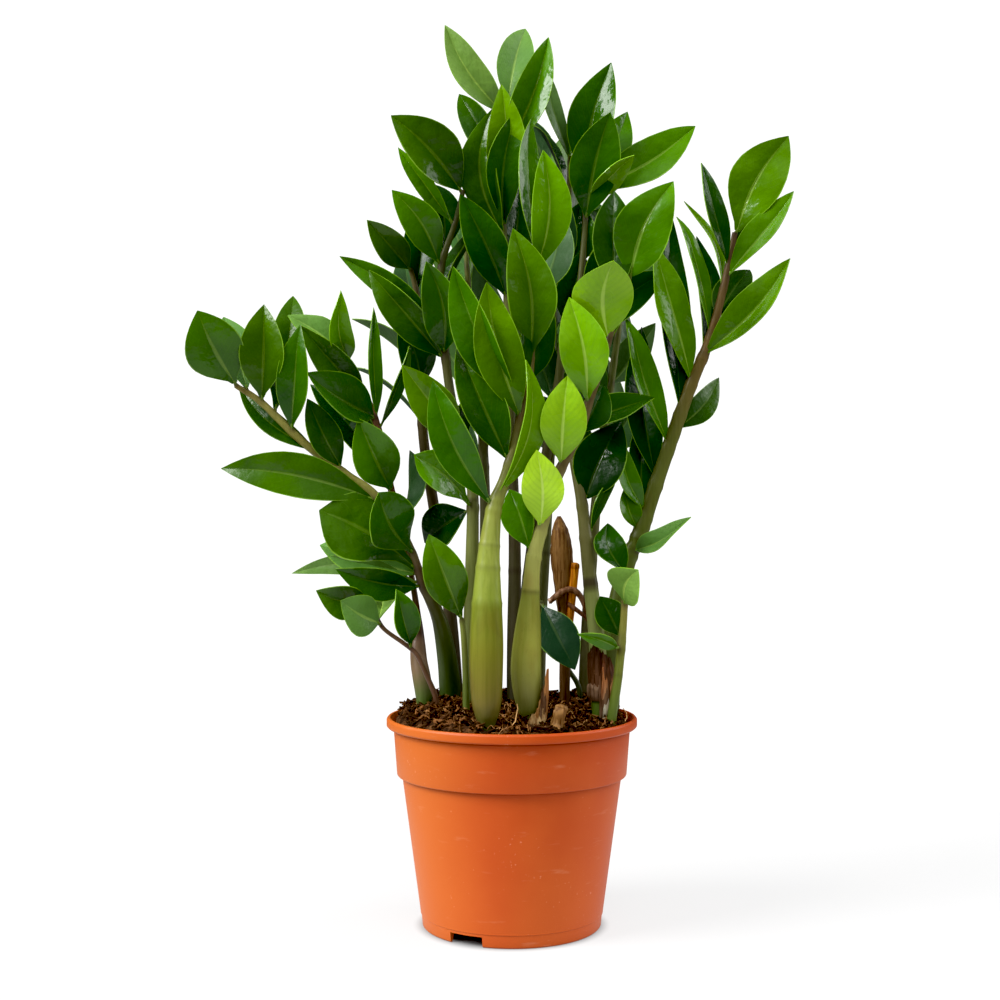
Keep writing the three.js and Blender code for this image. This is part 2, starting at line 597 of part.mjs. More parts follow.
// Leaflet rows for a rear frond: left, right, then one reaching away, up the stem and smaller.
function alternateRows(stem, { from, to, count, spread, rise, width, seed }) {
  const { curve } = routeOf(stem);
  const draw = draws(seed);
  const sides = [[-1, 8, 150], [1, 12, -150], [0.25, 44, 195]];
  return Array.from({ length: count }, (_, i) => {
    const up = THREE.MathUtils.lerp(from, to, i / (count - 1));
    const [sideways, backwards, turn] = sides[i % sides.length];
    const size = 1.1 - (0.3 * i) / count;
    const across = pointAtHeight(curve, up).x + spread * sideways * size + 6 * draw();
    const tipUp = up + rise * size + 8 * draw();
    return [up, across, tipUp, backwards + 8 * draw(), width * size, turn + 25 * draw()];
  });
}

function boxesMeet(a, b) {
  return [0, 1, 2].every((k) => a.min[k] <= b.max[k] && b.min[k] <= a.max[k]);
}

function crosses(solid, others) {
  const box = solid.boundingBox();
  return others.some((other) => boxesMeet(box, other.box) && !solid.intersect(other.solid).isEmpty());
}

function withBox(solid) {
  return { solid, box: solid.boundingBox() };
}

// Grows every frond: all the stems first, then leaflet by leaflet, each bent nearer or farther
// until it clears the other fronds and the dry remains. One that nothing clears is left out.
function growFronds(fixed) {
  const grown = new Map();
  for (const [name, { stem }] of Object.entries(fronds)) {
    const route = routeOf(stem);
    grown.set(name, { route, pieces: [withBox(stemTube(route))] });
  }
  for (const [name, { stem, leaflets, rows }] of Object.entries(fronds)) {
    const { route, pieces } = grown.get(name);
    const leafletRows = leaflets ?? alternateRows(stem, rows);
    for (const [height, across, up, reach, width, turn, bend = 0] of leafletRows) {
      const shownRoot = pointAtHeight(route.curve, height);
      const others = [...grown].filter(([other]) => other !== name).flatMap(([, frond]) => frond.pieces);
      const root = place(shownRoot);
      const tipAt = (shift) => place(new THREE.Vector3(across, shownRoot.y + reach + shift, up));
      const roomy = blade.thickness + 2 * blade.clearance;
      const grow = (shift, thickness) => leaflet(root, tipAt(shift), width, turn, bend, thickness);
      const clears = (solids) => (shift) => !crosses(grow(shift, roomy), solids);
      const shift = smallShifts.find(clears([...others, ...fixed, ...pieces.slice(1)]))
        ?? depthShifts.find(clears([...others, ...fixed]));
      if (shift !== undefined) pieces.push(withBox(grow(shift, blade.thickness)));
    }
  }
  return grown;
}

const group = new THREE.Group();

function addPart(name, solid, colour, roughness) {
  const material = new THREE.MeshStandardMaterial({ color: colour, roughness, metalness: 0 });
  const mesh = new THREE.Mesh(toGeometry(solid), material);
  mesh.name = name;
  group.add(mesh);
}

const husks = {
  husk_right: { across: 60, depth: -20, radius: 7.1, from: -175, to: 20, bottom: 136, top: 192, flare: 3 },
  husk_front: { across: 11, depth: -40, radius: 11.2, from: -52, to: 14, bottom: 126, top: 168, flare: 2.5 },
};

const cutStub = [[33, -58, 132, 4.6], [32.5, -58, 142, 4.5], [31.5, -57, 151, 3.6]];

// The dry pieces, each as a function of how much fatter it is made.
const dryPieces = {
  dry_cane: { make: (grow) => dryCane(grow), colour: 0x7a4a24 },
  cut_stub: { make: (grow) => tube(routeOf(cutStub, 14), 6, 3, grow), colour: 0x5c3a22 },
  husk_right: { make: (grow) => husk(husks.husk_right, grow), colour: 0x8a6038 },
  husk_front: { make: (grow) => husk(husks.husk_front, grow), colour: 0x8a6038 },
};

const grown = growFronds(Object.values(dryPieces).map(({ make }) => withBox(make(0))));

// Everything that stands in the soil has a plain hole there.
let soilBody = soilSolid();
for (const { stem } of Object.values(fronds)) soilBody = soilBody.subtract(stemTube(routeOf(stem), soil.gap));
for (const { make } of Object.values(dryPieces)) soilBody = soilBody.subtract(make(soil.gap));

addPart("pot", potSolid(), 0xcc5a26, 0.5);
addPart("soil", soilBody, 0x3a2417, 0.95);
for (const [name, { pieces }] of grown) {
  addPart(name, joined(pieces.map(({ solid }) => solid)), 0x2f6b16, 0.35);
}
for (const [name, { make, colour }] of Object.entries(dryPieces)) {
  addPart(name, make(0), colour, 0.85);
}

export default group;
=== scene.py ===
import math

import bpy
import numpy as np
from mathutils import Matrix, Vector, noise


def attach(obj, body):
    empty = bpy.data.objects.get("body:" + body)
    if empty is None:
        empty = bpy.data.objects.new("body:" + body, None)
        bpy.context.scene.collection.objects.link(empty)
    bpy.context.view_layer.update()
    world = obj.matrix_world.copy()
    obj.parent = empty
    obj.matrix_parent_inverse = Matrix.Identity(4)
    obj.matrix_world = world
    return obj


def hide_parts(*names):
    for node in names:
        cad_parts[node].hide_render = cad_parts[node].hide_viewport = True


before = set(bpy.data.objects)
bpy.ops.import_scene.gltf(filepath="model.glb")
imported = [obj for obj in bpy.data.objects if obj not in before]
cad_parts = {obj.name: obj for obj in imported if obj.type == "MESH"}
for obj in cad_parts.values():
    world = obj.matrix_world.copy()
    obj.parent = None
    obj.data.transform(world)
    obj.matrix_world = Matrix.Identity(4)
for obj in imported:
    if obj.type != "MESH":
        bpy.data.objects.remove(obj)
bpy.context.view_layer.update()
millimetre = 0.001


# a repeatable draw from -1 to 1
def drawsFrom(seed):
    prime = 2147483647
    state = seed
    while True:
        state = (state * 16807) % prime
        yield 2 * state / prime - 1


def deselectAll():
    bpy.ops.object.select_all(action="DESELECT")


def selectOnly(things):
    deselectAll()
    for thing in things:
        thing.select_set(True)
    bpy.context.view_layer.objects.active = things[0]


# edit mode, with all of the active piece selected
def editAll():
    bpy.ops.object.mode_set(mode="EDIT")
    bpy.ops.mesh.select_all(action="SELECT")


def leaveEdit():
    bpy.ops.object.mode_set(mode="OBJECT")


def joinAll(things, name):
    selectOnly(things)
    if len(things) > 1:
        bpy.ops.object.join()
    joined = bpy.context.object
    joined.name = name
    joined.data.name = name
    return joined


def applyModifier(thing, kind, **settings):
    selectOnly([thing])
    bpy.ops.object.modifier_add(type=kind)
    modifier = thing.modifiers[-1]
    for key, value in settings.items():
        setattr(modifier, key, value)
    bpy.ops.object.modifier_apply(modifier=modifier.name)


def coordinatesOf(thing):
    flat = np.empty(len(thing.data.vertices) * 3)
    thing.data.vertices.foreach_get("co", flat)
    return flat.reshape(-1, 3)


def setCoordinates(thing, points):
    thing.data.vertices.foreach_set("co", np.asarray(points, float).ravel())
    thing.data.update()


# one number all over a piece
def giveNumber(thing, name, value):
    made = thing.data.attributes.new(name, "FLOAT", "POINT")
    made.data.foreach_set("value", [value] * len(thing.data.vertices))


# a colour at each point of a piece
def giveSkin(thing, colours):
    made = thing.data.attributes.new("skin", "FLOAT_COLOR", "POINT")
    made.data.foreach_set("color", np.hstack([colours, np.ones((len(colours), 1))]).ravel())


def copyOf(template, name):
    made = template.copy()
    made.data = template.data.copy()
    made.name = name
    bpy.context.collection.objects.link(made)
    return made


# frond_far_left becomes frondFarLeft
def pieceName(node):
    first, *others = node.split("_")
    return first + "".join(word.title() for word in others)


def settle(piece, node, angle=40):
    selectOnly([piece])
    bpy.ops.object.shade_smooth_by_angle(angle=math.radians(angle))
    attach(piece, "root")
    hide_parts(node)


# a shader socket that takes plain Python sums
class Wire:
    def __init__(self, paint, socket):
        self.paint = paint
        self.socket = socket

    def sum(self, operation, *values):
        return self.paint.node("Math", {"operation": operation}, dict(enumerate(values)))

    def __add__(self, other):
        return self.sum("ADD", self, other)

    def __sub__(self, other):
        return self.sum("SUBTRACT", self, other)

    def __mul__(self, other):
        return self.sum("MULTIPLY", self, other)

    def __radd__(self, other):
        return self.sum("ADD", other, self)

    def __rsub__(self, other):
        return self.sum("SUBTRACT", other, self)

    def __rmul__(self, other):
        return self.sum("MULTIPLY", other, self)

    def __abs__(self):
        return self.sum("ABSOLUTE", self)

    def sine(self):
        return self.sum("SINE", self)


class Paint:
    def __init__(self, name, specular):
        self.material = bpy.data.materials.new(name)
        self.material.use_nodes = True
        self.tree = self.material.node_tree
        self.shader = self.tree.nodes["Principled BSDF"]
        self.shader.inputs["Specular IOR Level"].default_value = specular

    # any node: its type, its settings, and what goes into its sockets
    def node(self, kind, settings=None, sockets=None, out=0):
        made = self.tree.nodes.new("ShaderNode" + kind)
        for key, value in (settings or {}).items():
            if key == "stops":
                ramp = made.color_ramp
                for count, (position, colour) in enumerate(value):
                    stop = ramp.elements[count] if count < 2 else ramp.elements.new(position)
                    stop.position = position
                    stop.color = (*colour, 1)
            else:
                setattr(made, key, value)
        for key, value in (sockets or {}).items():
            self.feed(made.inputs[key], value)
        return Wire(self, made.outputs[out])

    def feed(self, socket, value):
        if isinstance(value, Wire):
            self.tree.links.new(value.socket, socket)
        elif socket.type == "RGBA":
            socket.default_value = (*value, 1)
        else:
            socket.default_value = value

    # what a piece carries at each point: its skin colour, or a number
    def skin(self):
        return self.node("Attribute", {"attribute_name": "skin"})

    def number(self, name):
        return self.node("Attribute", {"attribute_name": name}, out=2)

    def places(self, scale=(1, 1, 1)):
        spot = self.node("TexCoord", out=3)
        return self.node("Mapping", sockets={"Vector": spot, "Scale": scale})

    # the first two numbers of a vector
    def split(self, vector):
        parts = self.node("SeparateXYZ", sockets={0: vector}).socket.node.outputs
        return Wire(self, parts[0]), Wire(self, parts[1])

    def speckle(self, scale, detail=2, stretch=(1, 1, 1)):
        return self.node("TexNoise", sockets={
            "Vector": self.places(stretch), "Scale": scale, "Detail": detail})

    def ease(self, value, low, high):
        return self.node("MapRange", {"interpolation_type": "SMOOTHSTEP"},
                         {"Value": value, "From Min": low, "From Max": high})

    def blend(self, amount, first, second, kind="MIX"):
        return self.node("Mix", {"data_type": "RGBA", "blend_type": kind, "clamp_factor": True},
                         {0: amount, 6: first, 7: second}, out=2)

    def ramp(self, value, stops):
        return self.node("ValToRGB", {"stops": stops}, {0: value})

    def finish(self, colour, roughness, height=None, depth=0.001, strength=1.0):
        self.feed(self.shader.inputs["Base Color"], colour)
        self.feed(self.shader.inputs["Roughness"], roughness)
        if height is not None:
            bump = self.node("Bump", sockets={"Height": height, "Distance": depth, "Strength": strength})
            self.feed(self.shader.inputs["Normal"], bump)
        return self.material


# The stops run from a tone of 0, the darkest leaflets, to 1, the youngest and brightest.
leafLook = {
    "leafUpper": {
        "stops": [(0.0, (0.005, 0.022, 0.004)), (0.22, (0.018, 0.060, 0.002)), (0.42, (0.062, 0.150, 0.002)),
                  (0.65, (0.145, 0.320, 0.004)), (1.0, (0.400, 0.660, 0.030))],
        "roughness": 0.16,
        "veinDepth": 0.02,
    },
    "leafUnder": {
        "stops": [(0.0, (0.014, 0.032, 0.012)), (0.22, (0.050, 0.095, 0.030)), (0.5, (0.110, 0.225, 0.040)),
                  (1.0, (0.300, 0.480, 0.080))],
        "roughness": 0.34,
        "veinDepth": -0.1,
    },
    "specular": 0.26,
    "dullPatches": 0.18,  # rougher than the rest
    "clouds": 0.24,  # how far the tone wanders over one leaflet
    "cool": (0.52, 1.0, 0.9),
    # painted shade along the vein creases
    "paintedCreaseShade": (0.70, 0.80, 0.60),
    "rib": (0.560, 0.780, 0.150),
    "margin": (0.330, 0.600, 0.050),
    "marginStrength": 0.42,
    "veins": 11,  # side veins from root to tip
}


def leafPaint(name):
    look = leafLook
    face = look[name]
    paint = Paint(name, look["specular"])
    across, along = paint.split(paint.node("UVMap", {"uv_map": "UVMap"}))
    tone = paint.number("tone")
    side = abs(across - 0.5) * 2
    cloud = paint.speckle(38, 3)
    rib = 1 - paint.ease(side, 0.055 - along * 0.040, 0.14 - along * 0.10)
    # veins leave the rib towards the tip and fade before the margin
    waves = abs(((along * look["veins"] - side * 3.4 + cloud * 1.2) * math.pi).sine())
    veins = (1 - paint.ease(waves, 0.0, 0.22)) * paint.ease(side, 0.04, 0.2)
    veins = veins * (1 - paint.ease(side, 0.75, 0.95))
    # painted shade: the leaflet is darker along its vein creases, where shade falls
    creaseShadeMask = 1 - paint.ease(waves, 0.0, 0.8)
    shade = paint.ramp(tone + (cloud - 0.5) * look["clouds"] + (along - 0.5) * 0.10, face["stops"])
    shade = paint.blend(paint.number("cool") * (1 - tone) * 0.9, shade, look["cool"], "MULTIPLY")
    shade = paint.blend(creaseShadeMask * tone * 0.55, shade, look["paintedCreaseShade"], "MULTIPLY")
    shade = paint.blend(veins * tone * 0.08, shade, look["rib"])
    shade = paint.blend(rib * (tone * tone * 1.05 + 0.04) * (1 - along * 0.6), shade, look["rib"])
    shade = paint.blend(paint.ease(side, 0.955, 0.985) * look["marginStrength"], shade, look["margin"])
    dull = paint.ease(paint.speckle(34), 0.40, 0.62) * look["dullPatches"]
    pucker = paint.speckle(62, 3) * 3.0 + paint.speckle(900) * 0.04
    height = pucker - veins * face["veinDepth"] + rib * 0.3
    return paint.finish(shade, dull + face["roughness"], height, depth=0.0012, strength=0.55)


stemLook = {
    "specular": 0.22,
    "roughness": 0.26,
    "streak": (0.55, 0.62, 0.30),
    "cloud": (0.80, 0.60, 0.55),
    "fleck": (0.06, 0.075, 0.02),
}


def stemPaint():
    look = stemLook
    paint = Paint("stemSkin", look["specular"])
    streaks = paint.speckle(9, 4, (42, 42, 1.6))
    clouds = paint.speckle(60, 3, (1, 1, 0.5))
    flecks = paint.speckle(700, 2, (1, 1, 0.6))
    shade = paint.blend(paint.ease(streaks, 0.40, 0.72) * 0.38, paint.skin(), look["streak"], "MULTIPLY")
    shade = paint.blend(paint.ease(clouds, 0.48, 0.70) * 0.45, shade, look["cloud"], "MULTIPLY")
    shade = paint.blend(paint.ease(flecks, 0.62, 0.74) * 0.16, shade, look["fleck"])
    height = flecks * 0.2 + streaks * 0.8
    return paint.finish(shade, clouds * 0.2 + look["roughness"], height, depth=0.0005, strength=0.4)


potLook = {
    "specular": 0.30,
    "roughness": 0.42,
    "deep": (0.395, 0.049, 0.003),
    "pale": (0.465, 0.078, 0.008),
    "dust": (0.72, 0.36, 0.22),
    # painted light: the paler colour of the pot's left side, where the key light falls, and the span it fades
    # over
    "paintedLitSide": (0.500, 0.112, 0.012),
    "paintedLitSideFrom": (-0.075, 0.0),  # metres across, from fully to not at all
}


def potPaint():
    look = potLook
    paint = Paint("terracottaPlastic", look["specular"])
    cloud = paint.speckle(11, 4)
    dust = paint.ease(paint.speckle(420, 3), 0.66, 0.74) * paint.ease(paint.speckle(24), 0.45, 0.65)
    rubs = paint.ease(paint.speckle(45, 5, (1, 1, 5)), 0.62, 0.78)
    shade = paint.blend(paint.ease(cloud, 0.3, 0.7), look["deep"], look["pale"])
    # painted light: the side to the left is paler, as where the key light falls on it
    across, _ = paint.split(paint.places())
    shade = paint.blend(1 - paint.ease(across, *look["paintedLitSideFrom"]), shade, look["paintedLitSide"])
    shade = paint.blend(rubs * 0.16, shade, look["dust"])
    shade = paint.blend(dust * 0.35, shade, look["dust"])
    height = paint.speckle(1400) * 0.4 + cloud
    return paint.finish(shade, cloud * 0.14 + look["roughness"], height, depth=0.0004, strength=0.3)


soilLook = {
    "specular": 0.1,
    "peat": [(0.30, (0.006, 0.003, 0.001)), (0.5, (0.034, 0.014, 0.005)),
             (0.66, (0.120, 0.052, 0.018)), (0.8, (0.240, 0.125, 0.050))],
    "bark": [(0.0, (0.006, 0.003, 0.001)), (0.35, (0.042, 0.017, 0.006)),
             (0.65, (0.215, 0.088, 0.028)), (1.0, (0.560, 0.320, 0.130))],
}


def peatPaint():
    paint = Paint("crumblyPeat", soilLook["specular"])
    lumps = paint.speckle(320, 5)
    return paint.finish(paint.ramp(lumps, soilLook["peat"]), 0.85, lumps, depth=0.0025)


def barkPaint():
    paint = Paint("barkAndFibre", soilLook["specular"])
    grain = paint.speckle(500, 4)
    shade = paint.ramp(paint.number("tone") + (grain - 0.5) * 0.35, soilLook["bark"])
    return paint.finish(shade, 0.8, grain, depth=0.0012, strength=0.9)


dryLook = {"specular": 0.14, "roughness": 0.5, "streak": (0.34, 0.22, 0.14), "grain": (0.34, 0.17, 0.07)}


def dryPaint():
    look = dryLook
    paint = Paint("dryHusk", look["specular"])
    streaks = paint.speckle(10, 5, (60, 60, 3))
    grain = paint.speckle(600, 3)
    shade = paint.blend(paint.ease(streaks, 0.40, 0.62) * 0.8, paint.skin(), look["streak"], "MULTIPLY")
    shade = paint.blend(paint.ease(grain, 0.60, 0.78) * 0.18, shade, look["grain"])
    return paint.finish(shade, look["roughness"], streaks + grain * 0.3, depth=0.0009, strength=0.8)


leafUpper = leafPaint("leafUpper")
leafUnder = leafPaint("leafUnder")
stemSkin = stemPaint()
potPlastic = potPaint()
peat = peatPaint()
bark = barkPaint()
huskSkin = dryPaint()
print("materials are ready")


# Rows of [across, depth, up] are written in millimetres, as they show from here at the scale of the pot's
# middle, and place() moves them out to where they are.
viewPoint = {"across": -8, "up": 288, "distance": 1025, "lens": 54.2}


def place(shown):
    spread = (viewPoint["distance"] + shown[1]) / viewPoint["distance"]
    return np.array([
        viewPoint["across"] + (shown[0] - viewPoint["across"]) * spread,
        shown[1],
        viewPoint["up"] + (shown[2] - viewPoint["up"]) * spread,
    ])


# a smooth route through rows of [across, depth, up, radius]
def alongRoute(rows, share):
    spot = share * (len(rows) - 1)
    i = min(int(spot), len(rows) - 2)
    t = spot - i
    start, end = rows[i], rows[i + 1]
    before = rows[i - 1] if i else 2 * rows[0] - rows[1]
    after = rows[i + 2] if i + 2 < len(rows) else 2 * rows[-1] - rows[-2]
    leave = (end - before) / 2
    arrive = (after - start) / 2
    return start + leave * t + (3 * (end - start) - 2 * leave - arrive) * t**2 \
        + (2 * (start - end) + leave + arrive) * t**3


# a stem's rows with one more below, where its foot is in the soil
def sunkRoute(stem, sink=24):
    across, depth, up, radius = stem[0]
    return np.array([[across, depth, up - sink, radius * 0.8], *stem], float)


def shareAtHeight(rows, height):
    low, high = 0.0, 1.0
    for _ in range(30):
        middle = (low + high) / 2
        if alongRoute(rows, middle)[2] < height:
            low = middle
        else:
            high = middle
    return low


# rows along a route, about one for every step
def stopsAlong(rows, step, least=1):
    length = sum(np.linalg.norm(np.diff(rows[:, :3], axis=0), axis=1))
    steps = max(least, int(length / step))
    return [alongRoute(rows, i / steps) for i in range(steps + 1)]


# a round stalk of skin along points, with a radius at each, all in metres
def stalk(points, radii, sides, material, name):
    deselectAll()
    bpy.ops.curve.primitive_bezier_curve_add()
    made = bpy.context.object
    bpy.ops.object.mode_set(mode="EDIT")
    bpy.ops.curve.select_all(action="SELECT")
    bpy.ops.curve.spline_type_set(type="POLY")
    bpy.ops.curve.subdivide(number_cuts=len(points) - 2)
    leaveEdit()
    for dot, point, radius in zip(made.data.splines[0].points, points, radii):
        dot.co = (*point, 1)
        dot.radius = radius
    made.data.bevel_depth = 1
    made.data.bevel_resolution = (sides - 4) // 2
    made.data.use_fill_caps = True
    bpy.ops.object.convert(target="MESH")
    made = bpy.context.object
    made.name = name
    made.data.materials.clear()
    made.data.materials.append(material)
    return made


# Lengths are in millimetres, and most of the rest are shares of the leaflet's length or half width.
leafletShape = {
    "columns": [-1, -0.955, -0.8, -0.55, -0.3, -0.07, 0, 0.07, 0.3, 0.55, 0.8, 0.955, 1],
    "rows": 16,
    # [share of the length, share of the half width]
    "outline": [(0, 0.10), (0.04, 0.18), (0.1, 0.40), (0.2, 0.70), (0.3, 0.90), (0.4, 0.99), (0.48, 1.0),
                (0.6, 0.93), (0.7, 0.80), (0.8, 0.61), (0.88, 0.40), (0.94, 0.22), (0.975, 0.10), (1, 0.0)],
    "leastWidth": 0.015,
    "thickness": 0.6,
    "gap": 1.6,  # from the stem to the blade
    "slimness": 0.90,
    "bellySpread": 0.13,
    "upwards": 0.35,  # how far an upper face looks up before its turn
    "fold": 0.52,
    "foldSpread": 0.20,
    "foldTurn": 20,  # degrees, which make the blade narrower
    "roll": 0.15,
    "ripple": 0.06,
    "rippleSpread": 0.05,
    "ripples": 1.6,
    "rippleLag": 1.3,  # radians between the two margins
    "twist": 0.22,
    "arch": 0.06,
    "bend": 0.045,
    "tipLift": 0.05,
    "tipFrom": 0.7,
    "stalkRoot": 1.7,
    "stalkTip": 0.75,
    "stalkFlatness": 0.8,
    "stalkOverlap": 0.03,
    "stalkGreen": (0.16, 0.30, 0.03),
    "stalkBrown": (0.07, 0.05, 0.025),
}


def leafTemplate():
    shape = leafletShape
    deselectAll()
    columns = len(shape["columns"])
    bpy.ops.mesh.primitive_grid_add(x_subdivisions=columns - 1, y_subdivisions=shape["rows"], size=2)
    made = bpy.context.object
    made.name = "leafTemplate"
    points = coordinatesOf(made)
    across = np.interp(points[:, 0], np.linspace(-1, 1, columns), shape["columns"])
    along = (points[:, 1] + 1) / 2
    points[:, 0] = across
    points[:, 1] = along
    setCoordinates(made, points)
    for corner in made.data.loops:
        spot = made.data.uv_layers.active.data[corner.index]
        spot.uv = ((across[corner.vertex_index] + 1) / 2, along[corner.vertex_index])
    # each row across is drawn in to the outline
    heights, widths = zip(*shape["outline"])
    for height in sorted(set(np.round(along, 5))):
        bpy.ops.object.mode_set(mode="EDIT")
        bpy.ops.mesh.select_all(action="DESELECT")
        leaveEdit()
        for vertex in made.data.vertices:
            vertex.select = abs(vertex.co.y - height) < 1e-4
        bpy.ops.object.mode_set(mode="EDIT")
        width = max(float(np.interp(height, heights, widths)), shape["leastWidth"])
        bpy.ops.transform.resize(value=(width, 1, 1))
        leaveEdit()
    made.data.materials.append(leafUpper)
    made.data.materials.append(leafUnder)
    return made, across, along


def stalkletTemplate():
    deselectAll()
    bpy.ops.mesh.primitive_cylinder_add(vertices=8, radius=1, depth=1)
    made = bpy.context.object
    made.name = "stalkletTemplate"
    made.data.materials.append(stemSkin)
    return made


leafPattern, patternAcross, patternAlong = leafTemplate()
stalkletPattern = stalkletTemplate()


# a leaflet's own directions: from root to tip, sideways, and out of its upper face
def leafFrame(root, tip, turn):
    along = tip - root
    length = np.linalg.norm(along)
    along = along / length
    face = np.array([0, -1, leafletShape["upwards"]])
    face = face - along * face.dot(along)
    face = face / np.linalg.norm(face)
    angle = math.radians(turn)
    face = face * math.cos(angle) + np.cross(along, face) * math.sin(angle)
    return along, np.cross(along, face), face, length


def growLeaflet(root, tip, width, turn, tone, stemRadius, draw, own, name):
    shape = leafletShape
    along, side, face, length = leafFrame(root, tip, turn)
    start = (stemRadius + shape["gap"]) / length
    lengthwise = patternAlong  # 0 at the root of the blade to 1 at its tip
    crosswise = patternAcross  # -1 at one margin to 1 at the other
    reached = start + lengthwise * (1 - start)
    belly = own.get("belly", 1 + shape["bellySpread"] * next(draw))
    phase = math.pi * next(draw)
    ripple = shape["ripple"] + shape["rippleSpread"] * next(draw)
    twist = shape["twist"] * next(draw)
    fold = own.get("fold", shape["fold"] + shape["foldSpread"] * next(draw))
    bend = own.get("bend", shape["bend"] * next(draw))
    tipLift = shape["tipLift"] * next(draw)
    cool = own.get("cool", 0.5 + 0.5 * next(draw))
    arch = own.get("arch", shape["arch"])
    heights, widths = zip(*shape["outline"])
    outline = np.maximum(np.interp(lengthwise ** (1 / belly), heights, widths), shape["leastWidth"])
    half = width * shape["slimness"] / 2 * outline
    lag = np.where(crosswise > 0, shape["rippleLag"], 0)
    waves = ripple * np.sin(2 * math.pi * shape["ripples"] * lengthwise + phase + lag)
    tilt = twist * (2 * lengthwise - 1)
    rise = half * (fold * np.abs(crosswise) + tilt * crosswise + (waves - shape["roll"]) * crosswise**2)
    end = np.clip((lengthwise - shape["tipFrom"]) / (1 - shape["tipFrom"]), 0, 1)
    rise = rise + length * (arch * 4 * reached * (1 - reached) + tipLift * end**2)
    sideways = half * crosswise * math.cos(math.radians(shape["foldTurn"]))
    sideways = sideways + bend * length * np.sin(math.pi * lengthwise)
    made = copyOf(leafPattern, name)
    body = root + np.outer(length * reached, along) + np.outer(sideways, side) + np.outer(rise, face)
    setCoordinates(made, body * millimetre)
    giveNumber(made, "tone", abs(tone))
    giveNumber(made, "cool", cool)
    if tone < 0:
        made.data.flip_normals()

    # the short stalk that joins it to the stem
    stalklet = copyOf(stalkletPattern, name + "Stalk")
    ring = coordinatesOf(stalklet)
    far = (ring[:, 2] > 0).astype(float)
    thick = shape["stalkRoot"] + (shape["stalkTip"] - shape["stalkRoot"]) * far
    reach = length * (start + shape["stalkOverlap"]) * far
    body = root + np.outer(reach, along) + np.outer(ring[:, 0] * thick, side) \
        + np.outer(ring[:, 1] * thick * shape["stalkFlatness"] + arch * 4 * reach, face)
    setCoordinates(stalklet, body * millimetre)
    green = np.array(shape["stalkGreen"]) * (0.5 + abs(tone))
    giveSkin(stalklet, np.outer(far, green) + np.outer(1 - far, shape["stalkBrown"]))
    return made, stalklet


